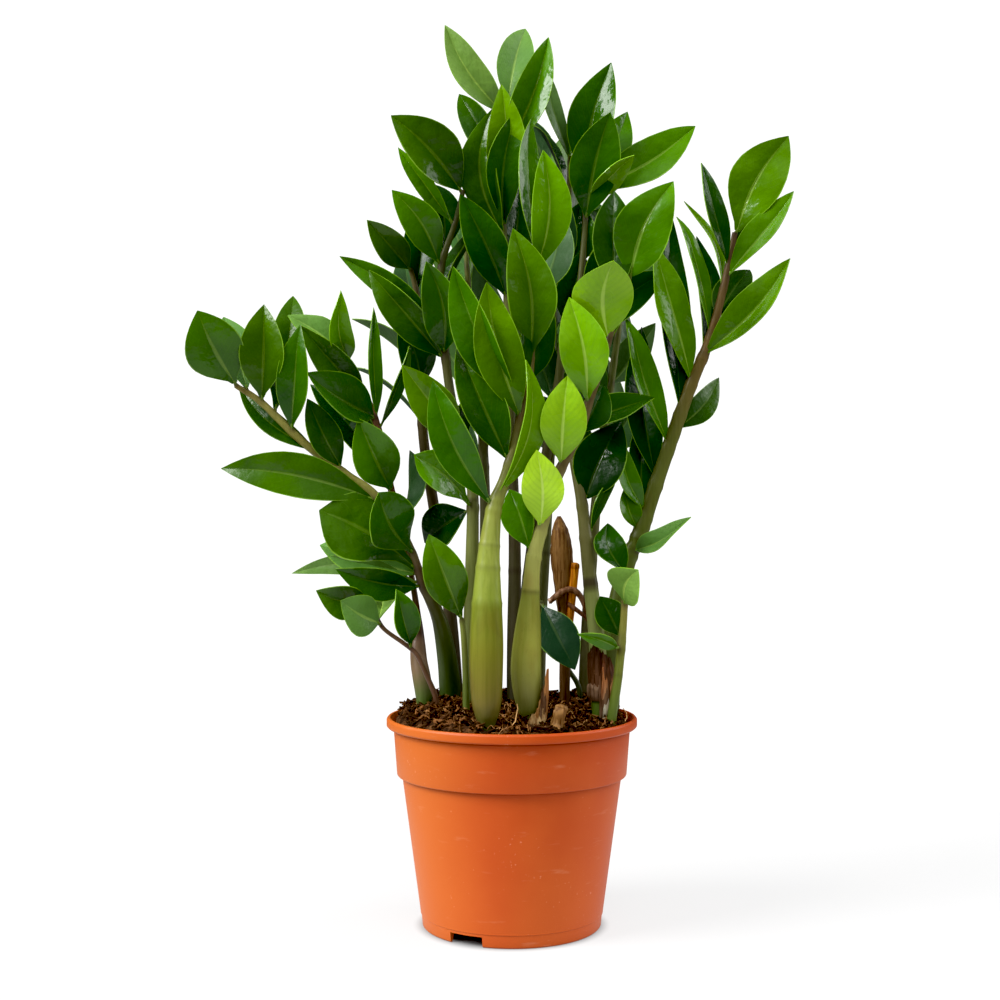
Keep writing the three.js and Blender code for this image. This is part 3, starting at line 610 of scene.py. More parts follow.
# Each stem row is [across, depth, up, radius]. Each leaflet row is [height of its root, tip across, tip up,
# tip's depth beyond the root, width, turn, tone], where a tone runs from 0, nearly black green, to 1, lime,
# and is negative where the leaflet is turned over. A dictionary after the tone sets the leaflet's own bend,
# belly, fold, arch or cool tint. The skin is a colour at some heights. Each ring is [height, half width,
# strength]. The leaflets of the three fronds behind are placed by pairedRows.
fronds = {
    "frond_far_left": {
        "stem": [
            [-42, 30, 159.7, 7.6], [-43.7, 27, 178, 7], [-47.5, 22, 200, 5.8], [-50.9, 19, 211, 4.9],
            [-55.5, 15, 221.5, 4.4], [-60.4, 12, 230, 3.3], [-66.9, 7, 250, 2.8], [-78, 4, 272, 2.8],
            [-95, 1, 293, 3.1], [-114, -1, 306, 3.1], [-144, -4, 329, 2.8], [-170, -6, 354, 2.3],
            [-188, -6, 366, 1.6],
        ],
        "leaflets": [
            [229, -119, 240, -30, 27, -35, 0.27], [232, -150, 238, 15, 18, -20, -0.5, {"bend": 0.1}],
            [236, -131, 259.5, 26, 40, 20, -0.55, {"bend": -0.08}],
            [240, -131, 281, -24, 62, 8, 0.26, {"belly": 0.55, "fold": 0.25, "bend": 0.03}],
            [251, -92, 294, -42, 44, 8, 0.29, {"belly": 0.62, "fold": 0.35, "bend": -0.08}],
            [270, -70, 322, 40, 32, 120, 0.2],
            [288, -198, 310, -12, 36, -12, 0.31, {"bend": 0.04, "fold": 0.4}],
            [307, -139, 357, -20, 27, 12, 0.21], [318, -186, 366, 20, 20, 10, 0.25, {"bend": -0.1}],
            [334, -145, 407, -20, 29, -18, 0.3, {"bend": 0.03}],
            [346, -149, 429, 40, 30, 5, 0.27, {"bend": 0.03}],
            [354, -169, 421, -18, 36, 0, 0.33, {"bend": 0.02}], [361, -196, 413, 28, 32, 20, -0.4],
            [365.5, -214, 417, -28, 46, -6, 0.38, {"belly": 0.85, "bend": -0.03}],
        ],
        "skin": [
            (150, (0.03, 0.05, 0.012)), (195, (0.06, 0.085, 0.015)), (222, (0.085, 0.075, 0.025)),
            (240, (0.11, 0.075, 0.04)), (300, (0.22, 0.21, 0.05)), (380, (0.26, 0.23, 0.06)),
        ],
    },
    "frond_left": {
        "stem": [
            [-60, -6, 146, 4.8], [-59.8, -5, 156, 6], [-61.3, -3, 167, 6.3], [-63.2, 0, 178, 5.9],
            [-63.8, 3, 189, 5.2], [-63.5, 8, 200, 3.4], [-64.4, 14, 211, 2.4], [-66.5, 20, 226, 2.1],
            [-69, 25, 240, 2.1], [-74, 27, 262, 2.3], [-82, 25, 295, 2.4], [-86, 23, 315, 2.4],
            [-92, 21, 340, 2.2], [-97, 20, 354, 2.1], [-111.5, 18, 382, 1.6],
        ],
        "leaflets": [
            [293, -105, 344, -50, 38, 0, 0.46, {"fold": 0.7, "belly": 0.88, "bend": -0.02}],
            [301, -137, 366, 30, 30, 10, 0.12], [318, -118, 350, 38, 32, 120, 0.2],
            [336, -68, 392, -6, 13, 60, 0.3, {"bend": -0.05}], [342, -94, 419, 4, 13, 30, 0.4],
            [343, -141, 374, -40, 38, 10, 0.27, {"bend": -0.07}],
            [358, -144, 407, -24, 27, -20, 0.3, {"bend": -0.01}],
            [380, -153, 413, -4, 30, 18, -0.62, {"bend": 0.05}],
            [381.5, -116, 430, -32, 20, 20, 0.6, {"fold": 0.8, "bend": -0.1}],
        ],
        "skin": [
            (146, (0.06, 0.11, 0.02)), (158, (0.09, 0.11, 0.035)), (172, (0.18, 0.12, 0.07)),
            (190, (0.15, 0.09, 0.055)), (196, (0.045, 0.022, 0.012)), (212, (0.07, 0.035, 0.02)),
            (250, (0.13, 0.08, 0.045)), (320, (0.24, 0.12, 0.065)), (390, (0.26, 0.12, 0.06)),
        ],
    },
    "frond_low_left": {
        "stem": [
            [-51, -17, 150, 1.9], [-57.4, -18, 167.5, 1.7], [-63.8, -19, 181.4, 1.6],
            [-68.2, -19, 186.5, 1.5], [-75, -19, 191.5, 1.5], [-87.7, -18, 201, 1.4], [-94, -16, 213, 1.3],
            [-97, -14, 222, 1.1],
        ],
        "leaflets": [
            [187, -78, 227, -14, 24, 30, 0.3, {"bend": -0.05}],
            [203, -117, 219.5, -20, 34, 4, -0.45, {"belly": 1.1, "fold": 0.3, "bend": -0.06}],
            [205, -96, 225, 30, 26, 10, -0.7, {"bend": 0.1}],
            [220.5, -133, 226, -14, 28, -30, 0.3, {"bend": -0.09}],
        ],
        "skin": [(150, (0.09, 0.045, 0.025)), (190, (0.11, 0.055, 0.03)), (230, (0.09, 0.08, 0.03))],
    },
    "frond_short": {
        "stem": [[-31, -24, 145, 2.3], [-31.5, -24, 170, 2.1], [-32.5, -24, 192, 2], [-34, -23, 207, 1.7]],
        "leaflets": [[206, -56, 264, -15, 34, 0, 0.36, {"belly": 0.88, "bend": -0.01}]],
        "skin": [(150, (0.1, 0.13, 0.03)), (210, (0.16, 0.18, 0.04))],
    },
    "frond_inner_left": {
        "stem": [
            [-28, 2, 150, 5.5], [-28, 4, 193, 5.2], [-27, 8, 247, 4.6], [-26.5, 12, 286, 4],
            [-28, 14, 302, 3.8], [-37, 16, 336, 3.4], [-44, 18, 376, 3.1], [-48, 18, 424, 2.7],
            [-47.5, 16, 449, 2.4], [-39, 14, 475, 2], [-33, 12, 499, 1.5],
        ],
        "leaflets": [
            [282, -67, 319, -30, 35, 5, 0.5, {"belly": 0.65}], [283, -59, 259, 26, 36, 0, 0.05],
            [330, -75, 380, -25, 34, -10, 0.5], [383, -98, 444, -10, 30, -35, 0.27],
            [386, -58, 451, -28, 34, -10, 0.36, {"bend": 0.08, "cool": 0.9}],
            [405, -116, 454, 4, 22, -30, 0.34, {"bend": 0.04}], [420, -14, 480, 34, 32, -60, 0.15],
            [445, -60, 492, 34, 25, 35, 0.36], [447, -81.5, 499, -14, 30, -15, 0.38, {"bend": 0.075}],
            [455, -53, 505, 34, 32, 20, 0.08], [475, -78, 528, -4, 16, -30, 0.46, {"bend": 0.02}],
            [497, -82, 550, -10, 42, -5, 0.28, {"fold": 0.7, "belly": 1.1, "bend": 0.03}],
        ],
        "skin": [
            (150, (0.1, 0.13, 0.04)), (260, (0.16, 0.18, 0.05)), (330, (0.1, 0.1, 0.04)),
            (500, (0.08, 0.09, 0.03)),
        ],
        "rings": [[288, 0.9, 0.5]],
    },
    "frond_left_back": {
        "stem": [
            [-38, 56, 158, 5], [-43, 58, 220, 4.6], [-53, 54, 283, 4], [-60, 50, 329, 3.6],
            [-62, 48, 370, 3.2], [-64, 46, 411, 2.8], [-65, 45, 430, 2.2], [-69, 44, 446, 1.6],
        ],
        "leaflets": [
            [312, -30, 366, 38, 32, 70, 0.12], [340, -109, 380, 24, 28, 75, 0.22],
            [360, -76, 412, -20, 34, 20, 0.25], [375, -109, 411, 14, 28, 80, 0.25],
            [392, -38, 446, 40, 32, -70, 0.15], [405, -73, 453, 24, 28, 20, -0.22],
            [429, -56, 488, 22, 32, 0, 0.18], [444, -99, 479, -28, 26, -20, 0.38],
        ],
        "skin": [(150, (0.06, 0.05, 0.03)), (300, (0.08, 0.06, 0.03)), (450, (0.12, 0.1, 0.04))],
        "rings": [[250, 0.9, 0.5]],
    },
    "frond_front_left": {
        "stem": [
            [-17, -62, 132, 5], [-17, -62, 142, 7.8], [-17.2, -62, 153, 9.8], [-17.4, -61, 174, 10.8],
            [-17.2, -60, 192, 10.8], [-17, -58.5, 213, 9.9], [-16, -56, 246, 7.5], [-14, -54, 268, 6],
            [-11.4, -52, 285, 4.8], [-4.6, -50, 302, 4], [1, -48, 322, 3.5], [4.3, -47, 336, 3.3],
            [11.7, -44, 370, 2.9], [15, -42, 404, 2.5], [16, -40, 431, 2.1], [15, -38, 458, 1.6],
        ],
        "leaflets": [
            [281, -54, 369, -12, 31, -15, 0.31, {"bend": -0.05, "cool": 1}],
            [288, 11, 383, -15, 24, 45, 0.56, {"bend": 0.1, "fold": 0.6}], [312, -37, 394, 12, 34, 0, 0.23],
            [342, -17.5, 436, -10, 37, 0, 0.41, {"bend": -0.04}],
            [350, -39, 447, -4, 33, -35, 0.34, {"bend": -0.03, "cool": 0.9}],
            [365, 22, 428, 10, 32, 30, 0.22], [384, 1, 473, -12, 38, 0, 0.38, {"bend": 0.06}],
            [424, 34, 484, 32, 30, 150, 0.2], [440.5, 21, 526, -12, 32, 15, 0.58, {"bend": 0.07}],
            [456, 10.4, 546, 10, 26, 40, 0.33, {"bend": -0.08}],
        ],
        "skin": [
            (135, (0.07, 0.075, 0.02)), (150, (0.13, 0.105, 0.02)), (185, (0.145, 0.145, 0.016)),
            (214, (0.15, 0.18, 0.018)), (219, (0.19, 0.24, 0.03)), (250, (0.24, 0.28, 0.048)),
            (285, (0.21, 0.24, 0.045)), (310, (0.18, 0.18, 0.05)), (350, (0.14, 0.11, 0.04)),
            (460, (0.16, 0.16, 0.05)),
        ],
        "rings": [[217, 0.7, 0.35], [242, 0.5, 0.2], [257, 0.5, 0.2]],
    },
    "frond_centre": {
        "stem": [
            [1.5, 12, 152, 5], [1.5, 14, 193, 4.8], [2, 18, 257, 4.2], [0, 20, 322, 3.6], [-2, 20, 376, 3.3],
            [-2.6, 18, 424, 3], [-6, 16, 472, 2.6], [-6, 16, 513, 2.2], [-4, 16, 547, 1.8],
            [-2.6, 16, 562, 1.4],
        ],
        "leaflets": [
            [372, 14, 440, 40, 32, 150, 0.2], [398, -24, 458, 46, 32, -150, 0.2],
            [424, -35, 496, -18, 33, -10, 0.24, {"bend": 0.02, "cool": 1}], [436, 5, 503, 34, 30, 20, 0.12],
            [448, 20, 512, 44, 32, 120, 0.25], [466, -14, 555, -8, 33, -20, 0.29, {"bend": -0.12}],
            [472, 3.6, 553.6, -14, 29, 10, 0.29, {"bend": -0.065}], [500, -18, 546, 46, 30, -120, 0.3],
            [495, -7, 571, -16, 32, 0, 0.56, {"bend": 0.04}], [515, -36, 564.5, 25, 25, -30, 0.24],
            [530, 14, 578, 36, 30, 150, 0.45], [520, 25, 603, -5, 29, 5, 0.44, {"bend": 0.05, "fold": 0.9}],
            [548, -45.5, 611, -5, 27, -8, -0.62, {"bend": -0.07}],
            [556, 9.7, 610, 28, 30, 10, -0.55, {"bend": -0.03}],
        ],
        "skin": [
            (150, (0.05, 0.045, 0.025)), (300, (0.07, 0.06, 0.03)), (420, (0.12, 0.13, 0.04)),
            (560, (0.16, 0.2, 0.05)),
        ],
        "rings": [[240, 0.9, 0.5]],
    },
    "frond_centre_right": {
        "stem": [
            [6, 34, 158, 5], [8, 36, 200, 4.7], [14, 38, 257, 4.2], [24, 38, 322, 3.7], [32, 36, 370, 3.3],
            [36, 34, 410, 3], [38, 32, 450, 2.6], [39, 30, 490, 2.1], [39.5, 28, 522, 1.5],
        ],
        "leaflets": [
            [352, 2, 408, 40, 32, 140, 0.15], [390, 66, 440, 40, 34, -140, 0.2],
            [405, 48, 458, -22, 30, 0, 0.16], [438, 46.5, 490, -30, 36, -5, 0.27, {"bend": 0.03}],
            [446, 62, 486, 20, 30, 10, 0.2], [444, 31, 504, -10, 29, -10, -0.1, {"bend": -0.03}],
            [470, 62, 530, 38, 32, -120, 0.25], [485, 14, 546, 42, 18, 60, 0.08, {"bend": -0.02}],
            [518, 60, 570, 34, 30, -60, 0.3], [518, 18, 591, -4, 16, 20, -0.35, {"bend": -0.05}],
        ],
        "skin": [(150, (0.05, 0.045, 0.025)), (300, (0.07, 0.06, 0.03)), (520, (0.14, 0.16, 0.05))],
        "rings": [[236, 0.9, 0.5]],
    },
    "frond_front_right": {
        "stem": [
            [12.4, -40, 137, 5], [11.6, -40, 146, 7.4], [10.4, -40, 159, 9.4], [9.7, -40, 176, 10],
            [11, -40, 199.5, 8.6], [13, -40, 226.7, 5.8], [15, -40, 248.5, 4.9], [20, -41, 267.6, 4.1],
            [26, -43, 288, 3.7], [33, -45, 308.4, 3.4], [46.5, -47, 335.7, 3.1], [53, -49, 356, 2.8],
            [60, -50, 376.5, 2.6], [65, -51, 393.6, 2.3], [72, -52, 417.4, 2], [80, -52, 439, 1.5],
        ],
        "leaflets": [
            [249, -1, 295, 15, 28, -30, 0.38], [266, 17, 322, -20, 33, 0, 0.97, {"belly": 0.85}],
            [309, 38, 372, -16, 36, 5, 0.76, {"belly": 0.9, "fold": 0.35}], [330, 62, 366, 24, 26, 30, 0.15],
            [353, 39, 426, -14, 37, -5, 0.66, {"fold": 0.45, "bend": 0.04, "arch": 0.14}],
            [376, 84, 428, 30, 30, -60, 0.2],
            [395, 69, 451, -25, 47, 0, 0.74, {"belly": 0.85, "fold": 0.08, "bend": -0.09, "arch": -0.05}],
            [418, 69.5, 498, 10, 33, 0, 0.17, {"belly": 0.8}],
            [438, 110, 505, -8, 43, 4, 0.42, {"belly": 1.15, "fold": 0.4, "bend": -0.07}],
        ],
        "skin": [
            (135, (0.09, 0.1, 0.025)), (155, (0.19, 0.19, 0.05)), (190, (0.28, 0.29, 0.05)),
            (224, (0.2, 0.22, 0.04)), (229, (0.27, 0.27, 0.065)), (262, (0.32, 0.33, 0.09)),
            (285, (0.2, 0.18, 0.06)), (320, (0.13, 0.1, 0.04)), (440, (0.12, 0.09, 0.04)),
        ],
        "rings": [[226.5, 0.9, 0.65]],
    },
    "frond_right_inner": {
        "stem": [
            [60, -20, 152, 6], [58, -18, 192, 5.7], [52.6, -14, 240, 4.8], [48, -8, 284, 4],
            [43, -2, 313, 3.6], [40, 4, 336, 3.4], [40, 10, 363, 3.2], [43, 16, 397, 2.9], [47, 20, 438, 2.5],
            [50, 22, 479, 2.1], [49, 22, 513, 1.5],
        ],
        "leaflets": [
            [262, 72, 304, 10, 10, 30, 0.2, {"bend": -0.1}], [284, 74, 341, 15, 42, 0, 0.07, {"bend": -0.02}],
            [337, 97, 357.5, -15, 30, -22, 0.16, {"bend": 0.04}], [346, 64, 364, 24, 28, 0, 0.12],
            [400, 104, 443, 20, 34, 10, 0.14], [425, 92, 480, 40, 32, 10, 0.22],
            [478, 67, 552, -20, 41, 5, 0.32, {"bend": -0.03, "cool": 1}],
            [490, 83, 524, -25, 20, 55, 0.62, {"bend": -0.04}],
            [495, 78.5, 551, 25, 32, 0, 0.35, {"bend": 0.04}],
            [496, 125, 542, 0, 38, -5, 0.44, {"bend": 0.09, "cool": 0.8}],
            [504, 68, 585, -5, 38, -5, 0.3, {"bend": -0.045, "cool": 1}],
        ],
        "skin": [
            (146, (0.1, 0.16, 0.03)), (190, (0.17, 0.2, 0.06)), (224, (0.17, 0.19, 0.06)),
            (238, (0.12, 0.115, 0.04)), (280, (0.11, 0.105, 0.035)), (340, (0.09, 0.09, 0.03)),
            (515, (0.08, 0.09, 0.03)),
        ],
        "rings": [[231, 4.2, 0.9]],
    },
    "frond_right_arch": {
        "stem": [
            [67, 2, 152, 6.5], [68, 4, 192.7, 6.3], [72, 6, 220, 6], [80.5, 8, 251, 5.6], [86, 8, 262, 5.4],
            [101.6, 10, 309, 5], [121, 10, 363.6, 4.3], [134, 8, 395.6, 3.4], [144.5, 6, 433.7, 2.6],
            [152, 4, 470, 1.8],
        ],
        "leaflets": [
            [250, 121, 277, -26, 19, -24, -0.5, {"fold": 0.7, "belly": 1.15, "bend": 0.13}],
            [262, 76.5, 297.5, -2, 19, 20, 0.36, {"bend": -0.07}],
            [276, 75, 328, -4, 18, 15, 0.4, {"bend": -0.11}], [270, 93, 352, 26, 22, 0, 0.14],
            [298, 88, 404, 32, 30, 0, 0.12], [322, 80, 413, -4, 26, 30, 0.42, {"bend": -0.09}],
            [333, 140.5, 371, 30, 22, 20, 0.27, {"bend": 0.05}], [345, 106, 480, 34, 28, 20, 0.14],
            [366, 96, 462, -8, 33, 25, 0.47], [384, 190, 452, -18, 31, -20, 0.42, {"fold": 0.7, "bend": 0.1}],
            [398, 115, 482, 6, 18, 40, 0.44, {"bend": -0.03}], [385, 124, 466, 32, 24, 30, 0.13],
            [408, 162, 445, 30, 29, -20, 0.14], [432, 115.5, 490, 15, 13, 40, 0.56, {"bend": 0.12}],
            [438, 193, 497, -12, 26, -24, 0.42, {"fold": 0.65, "bend": 0.05}],
            [445, 129, 517.5, -5, 24, 35, 0.19, {"bend": -0.07}], [450, 181, 492, 20, 27, 0, 0.13],
            [468, 188, 535, -5, 44, 5, 0.45, {"belly": 0.9, "bend": -0.06}],
        ],
        "skin": [
            (150, (0.07, 0.09, 0.03)), (250, (0.085, 0.11, 0.018)), (330, (0.105, 0.115, 0.025)),
            (390, (0.155, 0.1, 0.035)), (470, (0.1, 0.06, 0.03)),
        ],
        "rings": [[262, 0.9, 0.5]],
    },
    "frond_low_right": {
        "stem": [
            [68, -30, 138, 3.2], [72, -30, 165, 3], [75, -28, 192.7, 2.7], [77, -26, 220, 2.1],
            [77, -24, 237, 1.5],
        ],
        "leaflets": [
            [187, 44.5, 197, -20, 12, -40, 0.45, {"belly": 1.2, "bend": 0.05}],
            [192, 60, 222, 24, 26, 0, 0.1],
            [217, 86, 240.5, -32, 34, -25, -0.62, {"belly": 0.95, "fold": 0.35, "bend": -0.08}],
            [236, 65, 271, 24, 26, 10, 0.2, {"bend": -0.13}],
        ],
        "skin": [
            (140, (0.09, 0.14, 0.025)), (175, (0.14, 0.17, 0.03)), (215, (0.2, 0.18, 0.04)),
            (240, (0.18, 0.19, 0.04)),
        ],
        "rings": [[185, 1.2, 0.5], [168, 1, 0.45]],
    },
    "frond_hanging": {
        "stem": [
            [46, 28, 158.6, 1.9], [39, 26, 172, 1.7], [30, 20, 186, 1.6], [22, 10, 202, 1.5],
            [20, 0, 219, 1.4],
        ],
        "leaflets": [[218, 43, 173, -22, 33, 0, -0.01, {"belly": 0.85, "fold": 0.3}]],
        "skin": [(150, (0.04, 0.045, 0.02)), (215, (0.07, 0.09, 0.03))],
    },
    "frond_rear_left": {
        "stem": [
            [-20, 58, 158, 5], [-19, 66, 215, 4.6], [-18, 76, 275, 4], [-20, 84, 335, 3.4],
            [-25, 88, 395, 2.8], [-30, 90, 440, 2], [-31, 91, 462, 1.5],
        ],
        "pairs": {"from": 310, "to": 460, "count": 11, "spread": 30, "rise": 48, "width": 32, "seed": 17},
        "skin": [(150, (0.06, 0.05, 0.03)), (300, (0.09, 0.09, 0.035)), (470, (0.15, 0.17, 0.05))],
        "rings": [[240, 0.9, 0.5]],
    },
    "frond_rear": {
        "stem": [
            [18, 62, 158, 5], [20, 68, 215, 4.6], [24, 76, 280, 4], [27, 82, 345, 3.4], [28, 88, 410, 2.8],
            [27, 92, 470, 2.1], [25, 94, 515, 1.5],
        ],
        "pairs": {"from": 320, "to": 512, "count": 13, "spread": 34, "rise": 48, "width": 32, "seed": 47},
        "skin": [(150, (0.08, 0.08, 0.03)), (300, (0.1, 0.11, 0.04)), (520, (0.16, 0.18, 0.05))],
        "rings": [[252, 0.9, 0.5]],
    },
    "frond_rear_right": {
        "stem": [
            [50, 46, 158, 5], [52, 54, 210, 4.6], [56, 62, 270, 4], [62, 70, 330, 3.4], [70, 78, 385, 2.6],
            [76, 84, 430, 1.9], [78, 86, 448, 1.5],
        ],
        "pairs": {"from": 300, "to": 446, "count": 10, "spread": 28, "rise": 48, "width": 32, "seed": 37},
        "skin": [(150, (0.08, 0.07, 0.03)), (300, (0.11, 0.12, 0.04)), (450, (0.16, 0.18, 0.05))],
        "rings": [[246, 0.9, 0.5]],
    },
}

frondShape = {
    # where a solid's leaflet may have its tip, nearer or farther than its row says
    "tipShifts": [0, -7, 7, -14, 14, -21, 21, -28, 28, -36, 36, -44, 44],
    # [sideways, backwards, turn] of the leaflets of a frond behind, one after the other
    "ways": [(-1, 8, 150), (1, 12, -150), (0.25, 44, 195)],
    "rearSize": (1.1, 0.8),
    "rearTone": (0.30, 0.12),
    # how far the draws move a tip across, up and backwards, and its turn
    "rearSpread": (6, 8, 8, 25),
    "step": 2.2,
    "sides": 12,
    "leastRadius": 1.1,
    # [strength, reach] of the swelling at each leaflet and at each ring
    "jointSwell": (0.10, 2.2),
    "ringSwell": (0.05, 1.8),
    "mostSwell": 0.12,
    "scar": (0.035, 0.022, 0.016),
    "scarStrength": 0.9,
    "scarReach": 3.2,
    "mostScar": 0.85,
}


# the rows of a frond behind, which get smaller up its stem
def pairedRows(rows, plan):
    draw = drawsFrom(plan["seed"])
    tones = drawsFrom(plan["seed"] + 1000)
    largest, smallest = frondShape["rearSize"]
    tone, toneSpread = frondShape["rearTone"]
    made = []
    for i in range(plan["count"]):
        up = plan["from"] + (plan["to"] - plan["from"]) * i / (plan["count"] - 1)
        sideways, backwards, turn = frondShape["ways"][i % 3]
        size = largest - (largest - smallest) * i / plan["count"]
        across = alongRoute(rows, shareAtHeight(rows, up))[0] + plan["spread"] * sideways * size
        tip = [across, up + plan["rise"] * size, backwards]
        *moves, turning = [spread * next(draw) for spread in frondShape["rearSpread"]]
        tip = [middle + move for middle, move in zip(tip, moves)]
        made.append([up, *tip, plan["width"] * size, turn + turning, tone + toneSpread * next(tones)])
    return made


# the stem, with scars where its sheaths ended and a little swelling at each leaflet
def growStem(name, plan, rows, joints):
    shape = frondShape
    rings = plan.get("rings", [])
    swells = [(up, *shape["jointSwell"]) for up, _ in joints]
    swells += [(up, *shape["ringSwell"]) for up, _, _ in rings]
    stops = stopsAlong(rows, shape["step"])
    points = [place(shown) * millimetre for shown in stops]
    radii = []
    for shown in stops:
        swell = sum(strength * math.exp(-((shown[2] - up) / reach) ** 2) for up, strength, reach in swells)
        radii.append(max(shown[3], shape["leastRadius"]) * (1 + min(swell, shape["mostSwell"])) * millimetre)
    made = stalk(points, radii, shape["sides"], stemSkin, name + "_stem")
    spots = coordinatesOf(made)
    nearest = [int(np.argmin(np.linalg.norm(np.array(points) - spot, axis=1))) for spot in spots]
    ups = np.array(stops)[nearest, 2]
    heights, colours = zip(*plan["skin"])
    skin = np.stack([np.interp(ups, heights, band) for band in zip(*colours)], axis=1)
    away = [np.linalg.norm(spots / millimetre - spot, axis=1) for _, spot in joints]
    scar = sum(np.exp(-(far / shape["scarReach"]) ** 2) for far in away) * shape["scarStrength"]
    scar = scar + sum(np.exp(-((ups - up) / wide) ** 4) * strength for up, wide, strength in rings)
    scar = np.clip(scar, 0, shape["mostScar"])[:, None]
    giveSkin(made, skin * (1 - scar) + np.array(shape["scar"]) * scar)
    return made


def growFrond(name, plan):
    rows = sunkRoute(plan["stem"])
    leaflets = plan.get("leaflets") or pairedRows(rows, plan["pairs"])
    draw = drawsFrom(sum(map(ord, name)))
    corners = coordinatesOf(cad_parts[name]) / millimetre
    blades, stalks, joints = [], [], []
    for count, row in enumerate(leaflets):
        height, across, up, reach, width, turn, tone = row[:7]
        own = row[7] if len(row) > 7 else {}
        shown = alongRoute(rows, shareAtHeight(rows, height))
        root = place(shown)
        # the solid bends some leaflets nearer or farther, and its own tip tells by how much
        tips = [place((across, shown[1] + reach + shift, up)) for shift in frondShape["tipShifts"]]
        gaps = [np.linalg.norm(corners - tip, axis=1).min() for tip in tips]
        tip = tips[int(np.argmin(gaps))]
        blade, stalklet = growLeaflet(root, tip, width, turn, tone, shown[3], draw, own, f"{name}_{count}")
        blades.append(blade)
        stalks.append(stalklet)
        joints.append((shown[2], root + (tip - root) / np.linalg.norm(tip - root) * shown[3]))
    foliage = joinAll(blades, name + "_blades")
    thickness = leafletShape["thickness"] * millimetre
    applyModifier(foliage, "SOLIDIFY", thickness=thickness, offset=0.0, material_offset=1)
    stem = growStem(name, plan, rows, joints)
    settle(joinAll([foliage, stem, *stalks], pieceName(name)), name)


for frondName, frondPlan in fronds.items():
    growFrond(frondName, frondPlan)
bpy.data.objects.remove(leafPattern)
bpy.data.objects.remove(stalkletPattern)
print("fronds are grown")


potShape = {
    # [radius, height] from under the middle, up the outside, over the rim and down the inside
    "profile": [
        [0, 0], [30, 0], [32.4, 4.8], [56.4, 4.8], [58.6, 0], [59.6, 0], [60.6, 1.0], [61.3, 8.8],
        [61.9, 9.1], [61.9, 9.9], [74.4, 101.6], [73.9, 102.2], [77.4, 102.4], [77.9, 103.0],
        [80.2, 133.4], [79.6, 134.1], [84.0, 134.7], [85.0, 135.7], [85.0, 139.9], [84.0, 141.2],
        [82.5, 141.2], [81.2, 138.8], [78.6, 132.0], [76.3, 104.9], [72.7, 103.7], [60.2, 6.6],
        [31.2, 6.6], [28.8, 1.6], [0, 1.6],
    ],
    "softness": 0.2,
    "steps": 128,
    "notch": {"ring": 59.7, "depth": 12, "width": 24, "height": 7.0, "turns": (-120, 60)},
    "holes": {"count": 8, "ring": 45, "radius": 4, "middle": 5.7, "length": 6.4},
}


# notches in the foot and holes in the floor let water out
def drainCutter():
    notch, holes = potShape["notch"], potShape["holes"]
    cutters = []
    deselectAll()
    for turn in map(math.radians, notch["turns"]):
        spot = Vector((math.cos(turn), math.sin(turn), 0)) * notch["ring"] * millimetre
        bpy.ops.mesh.primitive_cube_add(size=1, location=spot, rotation=(0, 0, turn))
        cutters.append(bpy.context.object)
        cutters[-1].scale = Vector((notch["depth"], notch["width"], 2 * notch["height"])) * millimetre
    for i in range(holes["count"]):
        turn = math.tau * (i + 0.5) / holes["count"]
        spot = Vector((holes["ring"] * math.cos(turn), holes["ring"] * math.sin(turn), holes["middle"]))
        bpy.ops.mesh.primitive_cylinder_add(vertices=24, radius=holes["radius"] * millimetre,
                                            depth=holes["length"] * millimetre, location=spot * millimetre)
        cutters.append(bpy.context.object)
    selectOnly(cutters)
    bpy.ops.object.transform_apply(location=True, rotation=True, scale=True)
    return joinAll(cutters, "drainCutter")


def turnPot():
    shape = potShape
    deselectAll()
    bpy.ops.mesh.primitive_plane_add(size=1)
    made = bpy.context.object
    made.name = "pot"
    editAll()
    bpy.ops.mesh.merge(type="CENTER")
    profile = [Vector((r, 0, z)) * millimetre for r, z in shape["profile"]]
    for before, after in zip(profile, profile[1:]):
        bpy.ops.mesh.extrude_region_move(TRANSFORM_OT_translate={"value": after - before})
    bpy.ops.mesh.select_all(action="SELECT")
    leaveEdit()
    for vertex in made.data.vertices:
        vertex.select = vertex.co.x > 0.1 * millimetre
    bpy.ops.object.mode_set(mode="EDIT")
    bpy.ops.mesh.bevel(offset=shape["softness"] * millimetre, segments=2, affect="VERTICES")
    bpy.ops.mesh.select_all(action="SELECT")
    bpy.ops.mesh.spin(steps=shape["steps"], angle=2 * math.pi, center=(0, 0, 0), axis=(0, 0, 1))
    bpy.ops.mesh.select_all(action="SELECT")
    bpy.ops.mesh.remove_doubles(threshold=5e-6)
    bpy.ops.mesh.normals_make_consistent(inside=False)
    leaveEdit()
    cutter = drainCutter()
    applyModifier(made, "BOOLEAN", operation="DIFFERENCE", object=cutter, solver="EXACT")
    bpy.data.objects.remove(cutter)
    made.data.materials.clear()
    made.data.materials.append(potPlastic)
    settle(made, "pot", angle=14)


turnPot()
print("pot is turned")


soilShape = {
    "radius": 78.6,
    "crown": 149.5,
    "edge": 139.6,
    "shoulder": 70,
    "shoulderWidth": 11,
    "slump": 7.5,
    "slumpTurn": -1.2,  # radians
    "slumpRadius": 62,
    "lumps": 1.2,
    "rough": 2.6,
    "grid": 96,
    # [drop, share of the width kept, share of the relief kept] of the steps from its edge down inside the pot
    "skirt": [(22, 0.985, 0), (11.5, 0.975, 1), (1.2, 0.948, 1), (96.5, 0.826, 1)],
}


